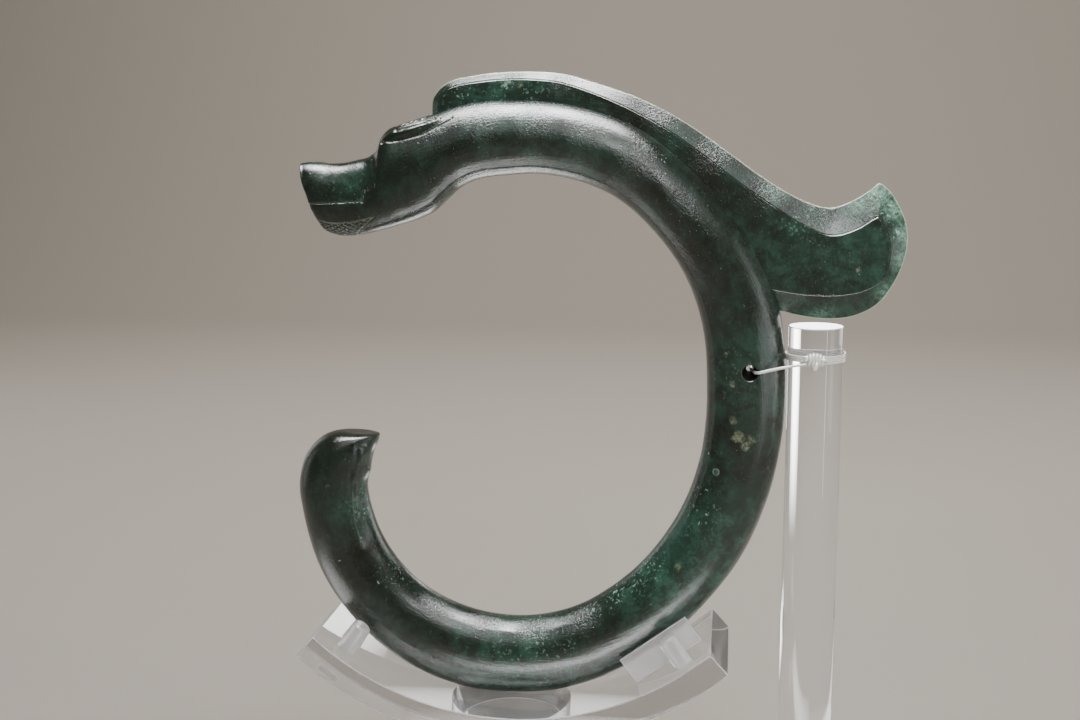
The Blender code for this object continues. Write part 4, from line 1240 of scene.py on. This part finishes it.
class DRESS_OT_pegs(bpy.types.Operator):
    """Turn the four round-topped pegs on the saddle"""

    bl_idname = "dress.pegs"
    bl_label = "Pegs"

    def execute(self, context):
        for y_name in ("front", "back"):
            for side, x_name in ((-1.0, "left"), (1.0, "right")):
                low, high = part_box(f"peg_{y_name}_{x_name}")
                radius = (high.y - low.y) / 2.0
                up = Vector((-side * math.sin(PEG_ANGLE), 0.0, math.cos(PEG_ANGLE)))
                foot = (low + high) / 2.0 - up * PEG_HEIGHT / 2.0
                soft = radius * PEG_ROUND
                profile = [(0.0, 0.0), (radius, 0.0)]
                profile += [(radius - soft + soft * math.cos(a), PEG_HEIGHT - soft + soft * math.sin(a))
                            for a in (math.pi / 2.0 * i / 8 for i in range(9))]
                profile += [(radius * 0.4, PEG_HEIGHT), (0.0, PEG_HEIGHT)]
                bm = turned(profile, foot, foot + up, PEG_SIDES)
                acrylic_piece(context, f"clear_peg_{y_name}_{x_name}", bm, f"peg_{y_name}_{x_name}",
                              ("worked acrylic", worked_finish))
        return {"FINISHED"}


class DRESS_OT_spacer(bpy.types.Operator):
    """Cut the small flat plate between the right front peg and the stone"""

    bl_idname = "dress.spacer"
    bl_label = "Spacer plate"

    def execute(self, context):
        low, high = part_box("spacer_plate")
        bm = block(SPACER_SIZE)
        bevel_all(bm, context.scene.dragon_stand.edge * 0.6)
        turn = Matrix.Translation((low + high) / 2.0) @ Matrix.Rotation(-SPACER_TURN, 4, "Y")
        bmesh.ops.transform(bm, matrix=turn, verts=bm.verts)
        acrylic_piece(context, "clear_spacer", bm, "spacer_plate", ("worked acrylic", worked_finish))
        return {"FINISHED"}


class DRESS_OT_pillar(bpy.types.Operator):
    """Turn the round pillar and cut its top to the saddle"""

    bl_idname = "dress.pillar"
    bl_label = "Pillar"

    def execute(self, context):
        foot, radius, _ = upright("saddle_pillar")
        inner, outer, axis = saddle_radii()
        soft, top = context.scene.dragon_stand.edge, axis.z - inner - foot.z
        profile = ((0.0, 0.0), (radius - soft, 0.0), (radius, soft), (radius, top), (0.0, top))
        bm = turned(profile, foot, foot + UP, PILLAR_SIDES)
        mark_chamfers(bm)
        pillar = acrylic_piece(context, "clear_pillar", bm, "saddle_pillar")
        reach = Vector((0.0, radius * 2.0, 0.0))
        seat = outer + FIT_GAP
        drill = turned(((0.0, 0.0), (seat, 0.0), (seat, 4.0 * radius), (0.0, 4.0 * radius)),
                       axis - reach, axis + reach, SEAT_SIDES)
        fuse(pillar, new_object("seat drill", drill), "DIFFERENCE")
        shade(pillar, ACRYLIC_SHARP)
        return {"FINISHED"}


class DRESS_OT_rod(bpy.types.Operator):
    """Turn the clear rod beside the dragon"""

    bl_idname = "dress.rod"
    bl_label = "Support rod"

    def execute(self, context):
        foot, radius, tall = upright("support_rod")
        soft = context.scene.dragon_stand.edge
        profile = ((0.0, 0.0), (radius - soft, 0.0), (radius, soft), (radius, tall / 2.0),
                   (radius, tall - soft), (radius - soft * 0.3, tall - soft * 0.3), (radius - soft, tall),
                   (0.0, tall))
        bm = turned(profile, foot, foot + UP, ROD_SIDES)
        mark_chamfers(bm)
        acrylic_piece(context, "clear_rod", bm, "support_rod")
        return {"FINISHED"}


class DRESS_OT_base(bpy.types.Operator):
    """Cut the base plate with round corners and polished edges"""

    bl_idname = "dress.base"
    bl_label = "Base plate"

    def execute(self, context):
        low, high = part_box("base_plate")
        size = high - low
        bm = block(size)
        corners = [e for e in bm.edges if abs(e.verts[0].co.z - e.verts[1].co.z) > size.z / 2.0]
        round_edges(bm, corners, BASE_CORNER, 16)
        bevel_all(bm, BASE_EDGE, 3, 60.0)
        bmesh.ops.translate(bm, vec=(low + high) / 2.0, verts=bm.verts)
        acrylic_piece(context, "clear_base", bm, "base_plate")
        return {"FINISHED"}


def smooth_route(points, parts):
    """Return points on a smooth curve through points given as x, y, z and a share of the thickness."""
    rows = [(x, y, z, share * SHARE_SCALE) for x, y, z, share in points]
    fine = [row_at(rows, i / parts) for i in range((len(rows) - 1) * parts + 1)]
    return [(x, y, z, share / SHARE_SCALE) for x, y, z, share in fine]


def cord_curve(name, points, width, material, closed=False):
    """Make a round cord along points given as x, y, z and a share of its width."""
    curve = bpy.data.curves.new(name, "CURVE")
    curve.dimensions = "3D"
    curve.bevel_depth = width / 2.0
    curve.bevel_resolution = 4
    curve.use_fill_caps = True
    line = curve.splines.new("POLY")
    line.points.add(len(points) - 1)
    for point, place in zip(line.points, points):
        point.co = (*place[:3], 1.0)
        point.radius = place[3]
    line.use_cyclic_u = closed
    line.use_smooth = True
    curve.materials.append(material)
    obj = bpy.data.objects.new(name, curve)
    bpy.context.scene.collection.objects.link(obj)
    return obj


def thread_route(width):
    """Return the thread's closed route through the hole and round the rod, with its share of thickness."""
    rod, rod_radius, _ = upright("support_rod")
    rod.z = HOLE_MIDDLE.z + THREAD_RISE
    wrap = rod_radius + FIT_GAP + width * WRAP_SHARE / 2.0
    carving = bpy.context.scene.dragon_carving
    face, lip, neck = BODY_HALF_DEPTH * STONE, carving.hole_mouth / 2.0, carving.hole_neck / 2.0
    beside = neck - width / 2.0 - FIT_GAP
    steps = ((beside, -HOLE_NECK_LENGTH / 2.0, 0.0),
             (0.56 * lip - width / 2.0, -0.62 * face, 0.0),
             (0.80 * lip - width / 2.0, -0.93 * face, 0.02 * THREAD_RISE),
             (lip, -face - 0.45 * width, 0.08 * THREAD_RISE),
             (lip + 2.2 * width, -face - 0.6 * width, 0.22 * THREAD_RISE))
    front = [HOLE_MIDDLE + Vector(step) for step in steps]
    turns = [math.pi * (i / 10 - 0.5) for i in range(20 * WRAP_TURNS + 11)]
    middle = math.pi * WRAP_TURNS
    around = [rod + Vector((wrap * math.cos(a), wrap * math.sin(a), WRAP_PITCH * (a - middle) / math.tau))
              for a in turns]
    back = [Vector((p.x, -p.y, p.z)) for p in reversed(front)]
    inside = HOLE_MIDDLE + Vector((beside, 0.0, 0.0))
    route = [inside] + front + around + back + [inside]
    shares = [1.0] * (1 + len(front)) + [WRAP_SHARE] * len(around) + [1.0] * (1 + len(back))
    return [(*point, share) for point, share in zip(route, shares)]


class DRESS_OT_thread(bpy.types.Operator):
    """Tie the thread through the hole and round the rod"""

    bl_idname = "dress.thread"
    bl_label = "Tie thread"

    def execute(self, context):
        stand = context.scene.dragon_stand
        width = stand.thread_width
        material = shared_finish("nylon thread", thread_finish, stand)
        route = smooth_route(thread_route(width), CORD_PARTS)[:-1]
        run = cord_curve("tie_cord", route, width, material, closed=True)
        low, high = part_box("support_rod")
        middle = Vector(((low.x + high.x) / 2.0 - KNOT_SHIFT, low.y - FIT_GAP - width * 0.8,
                         HOLE_MIDDLE.z + THREAD_RISE))
        points = []
        for i in range(KNOT_POINTS):
            t = i / (KNOT_POINTS - 1)
            turn = math.tau * KNOT_COILS * t
            radius = KNOT_RADIUS * (0.55 + 0.45 * math.sin(math.pi * t))
            coil = (KNOT_LENGTH * (t - 0.5), -radius * math.cos(turn) * 0.8, radius * 1.1 * math.sin(turn))
            points.append((*(middle + Vector(coil)), 1.0))
        pieces = [run, cord_curve("knot_wraps", points, width, material)]
        for i, ends in enumerate(KNOT_ENDS):
            route = smooth_route([(*(middle + Vector(row[:3]) * 0.001), row[3]) for row in ends], CORD_PARTS)
            pieces.append(cord_curve(f"knot_end_{i + 1}", route, width, material))
        for obj in pieces:
            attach(obj, "root")
        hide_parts("tie_thread")
        return {"FINISHED"}


# Soft boxes: name, place, target, size, brightness, how fast each side fades, and what sees it: lit surfaces,
# gloss, or the clear pieces
SOFT_BOXES = (
    ("top box", (0.0, -0.05, 1.10), (0.0, 0.0, 0.2), (0.60, 0.40), 8.0, None, "lit gloss clear"),
    ("backdrop box", (0.0, 0.45, 1.35), (0.0, 1.9, 0.45), (1.60, 0.40), 12.0, None, "lit"),
    ("front box", (0.35, -1.30, 0.75), (0.0, 0.0, 0.2), (0.90, 0.70), 3.0, None, "lit"),
    ("overhead strip", (-0.11, -0.08, 0.95), (-0.11, -0.07, 0.25), (0.84, 0.80), 48.0, (0.8, 2.4), "gloss"),
    ("front fill", (0.10, -0.66, 0.85), (0.05, 0.0, 0.25), (1.30, 0.70), 2.6, (0.8, 0.8), "gloss"),
    ("bevel glint", (0.095, -0.36, 0.435), (0.12, 0.0, 0.26), (0.12, 0.09), 28.0, (1.2, 1.0), "gloss"),
    ("table front", (0.015, -0.104, 0.0115), (0.015, -0.104, 1.0), (0.22, 0.06), 13.0, (0.9, 0.6), "gloss"),
    ("table back", (-0.03, 0.19, 0.0115), (-0.03, 0.19, 1.0), (0.20, 0.12), 12.0, (0.9, 0.6), "gloss"),
    ("table left", (-0.085, -0.035, 0.0115), (-0.085, -0.035, 1.0), (0.10, 0.08), 2.6, (0.6, 0.6), "gloss"),
    ("table far left", (-0.22, -0.03, 0.0115), (-0.22, -0.03, 1.0), (0.15, 0.18), 3.2, (0.7, 0.7), "gloss"),
    ("crest streak", (0.50, -0.42, 0.10), (0.0, 0.0, 0.14), (0.05, 0.30), 10.0, (0.8, 0.8), "gloss"),
    ("stand front", (-0.02, -0.062, 0.0112), (-0.02, -0.062, 1.0), (0.26, 0.05), 4.5, (0.7, 0.5), "clear"),
    ("stand glow", (-0.03, 0.060, 0.0112), (-0.03, 0.060, 1.0), (0.30, 0.05), 1.2, (0.8, 0.8), "clear"),
    ("knot lamp", (0.17, -0.17, 0.27), (0.09, -0.012, 0.198), (0.03, 0.03), 55.0, None, "lit"),
    ("left rim", (-0.95, 0.85, 0.35), (0.0, 0.0, 0.2), (0.55, 0.90), 1.3, (0.8, 0.8), "gloss clear"),
    ("right rim", (1.00, 0.85, 0.35), (0.0, 0.0, 0.2), (0.55, 0.90), 5.0, (0.8, 0.8), "gloss clear"),
    ("left panel", (-0.95, 0.15, 0.20), (0.0, 0.0, 0.2), (0.25, 0.70), 1.3, (0.8, 0.8), "gloss clear"),
    ("right panel", (0.85, -0.30, 0.25), (0.0, 0.0, 0.2), (0.40, 0.80), 2.8, (0.8, 0.8), "gloss clear"),
    ("rod edge", (0.90, 0.12, 0.15), (0.0, 0.0, 0.15), (0.30, 0.60), 5.0, (0.8, 0.8), "clear"),
    ("rod streak", (0.23, 0.207, 0.160), (0.09, 0.0, 0.160), (0.085, 0.22), 11.0, (0.8, 2.0), "clear"),
    ("rod top glint", (0.135, 0.80, 0.336), (0.09, 0.0, 0.212), (0.16, 0.12), 12.0, (0.5, 0.5), "gloss"),
)


def soften_box(light, fade):
    """Let a soft box fade towards its sides."""
    kit = Finish(light, "Emission", {})
    across = kit.node("NewGeometry", out="Parametric")
    strength = 1.0
    for axis, power in zip("XY", fade):
        share = kit.node("SeparateXYZ", {}, {"Vector": across}, axis)
        strength = (share * (1.0 - share) * 4.0) ** power * strength
    kit.set("Strength", strength)


class DRESS_OT_stage(bpy.types.Operator):
    """Set the floor, backdrop, lights and camera"""

    bl_idname = "dress.stage"
    bl_label = "Stage"

    def execute(self, context):
        settings = context.scene.dragon_stage
        self.make_floor(settings)
        self.make_world(context, settings)
        self.make_lights()
        self.make_camera(context, settings)
        return {"FINISHED"}

    def make_floor(self, settings):
        """Sweep a floor that curves up into a backdrop."""
        bm = bmesh.new()
        half, front, foot, curve, top = 4.0, -4.0, 1.5, 0.9, 3.2
        profile = [(front, 0.0), (foot, 0.0)]
        profile += [(foot + curve * math.sin(a), curve * (1.0 - math.cos(a)))
                    for a in (math.pi / 2.0 * i / 24 for i in range(1, 25))]
        profile.append((foot + curve, top))
        verts = [bm.verts.new((-half, y, z - FLOOR_DROP)) for y, z in profile]
        for pair in zip(verts, verts[1:]):
            bm.edges.new(pair)
        swept = bmesh.ops.extrude_edge_only(bm, edges=bm.edges[:])["geom"]
        moved = [part for part in swept if isinstance(part, bmesh.types.BMVert)]
        bmesh.ops.translate(bm, vec=(2.0 * half, 0.0, 0.0), verts=moved)
        bmesh.ops.recalc_face_normals(bm, faces=bm.faces)
        floor = new_object("stage_floor", bm, floor_finish(settings))
        floor.data.shade_smooth()

    def make_world(self, context, settings):
        """Light the surround evenly."""
        world = bpy.data.worlds.new("soft surround")
        world.use_nodes = True
        world.node_tree.nodes["Background"].inputs["Color"].default_value = settings.world
        context.scene.world = world

    def make_lights(self):
        """Hang the soft boxes, each lighting only what its row names."""
        for name, place, target, size, glow, fade, seen in SOFT_BOXES:
            light = bpy.data.lights.new(name, "AREA")
            light.shape = "RECTANGLE"
            light.size, light.size_y = size
            light.energy = glow * math.pi * size[0] * size[1]
            if fade:
                soften_box(light, fade)
            obj = bpy.data.objects.new(name, light)
            obj.location = place
            obj.rotation_euler = (Vector(target) - Vector(place)).to_track_quat("-Z", "Y").to_euler()
            obj.visible_camera = False
            obj.visible_diffuse = "lit" in seen
            obj.visible_glossy = "gloss" in seen
            obj.visible_transmission = "clear" in seen
            bpy.context.scene.collection.objects.link(obj)

    def make_camera(self, context, settings):
        """Stand the camera where the photograph was taken from."""
        data = bpy.data.cameras.new("camera")
        data.lens, data.sensor_width = settings.lens, 36.0
        camera = bpy.data.objects.new("camera", data)
        camera.location = in_frame(*CAMERA_AT)
        camera.rotation_euler = (math.radians(90.0 - CAMERA_DOWN), 0.0, math.radians(CAMERA_TURN))
        context.scene.collection.objects.link(camera)
        context.scene.camera = camera


class DRESS_PT_panel(bpy.types.Panel):
    """Every step of dressing the dragon"""

    bl_idname = "DRESS_PT_panel"
    bl_label = "Jade dragon"
    bl_space_type = "VIEW_3D"
    bl_region_type = "UI"
    bl_category = "Jade dragon"

    def draw(self, context):
        for group in (context.scene.dragon_carving, context.scene.dragon_jade, context.scene.dragon_stand,
                      context.scene.dragon_stage):
            box = self.layout.box()
            for name in group.bl_rna.properties.keys():
                if name not in ("rna_type", "name"):
                    box.prop(group, name)
        for operator in OPERATORS:
            self.layout.operator(operator.bl_idname)


SETTINGS = {"dragon_carving": CarvingSettings, "dragon_jade": JadeSettings, "dragon_stand": StandSettings,
            "dragon_stage": StageSettings}
OPERATORS = (DRESS_OT_dragon, DRESS_OT_saddle, DRESS_OT_pegs, DRESS_OT_spacer, DRESS_OT_pillar, DRESS_OT_rod,
             DRESS_OT_base, DRESS_OT_thread, DRESS_OT_stage)


def register():
    """Register the settings, the operators and the panel."""
    for group in SETTINGS.values():
        bpy.utils.register_class(group)
    for name, group in SETTINGS.items():
        setattr(bpy.types.Scene, name, bpy.props.PointerProperty(type=group))
    for kind in (*OPERATORS, DRESS_PT_panel):
        bpy.utils.register_class(kind)


def unregister():
    """Take away the panel, the operators and the settings."""
    for kind in (DRESS_PT_panel, *reversed(OPERATORS)):
        bpy.utils.unregister_class(kind)
    for name, group in SETTINGS.items():
        delattr(bpy.types.Scene, name)
        bpy.utils.unregister_class(group)


def main():
    """Register the add-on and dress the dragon."""
    register()
    bpy.ops.dress.dragon()
    bpy.ops.dress.saddle()
    bpy.ops.dress.pegs()
    bpy.ops.dress.spacer()
    bpy.ops.dress.pillar()
    bpy.ops.dress.rod()
    bpy.ops.dress.base()
    bpy.ops.dress.thread()
    bpy.ops.dress.stage()


if __name__ == "__main__":
    main()
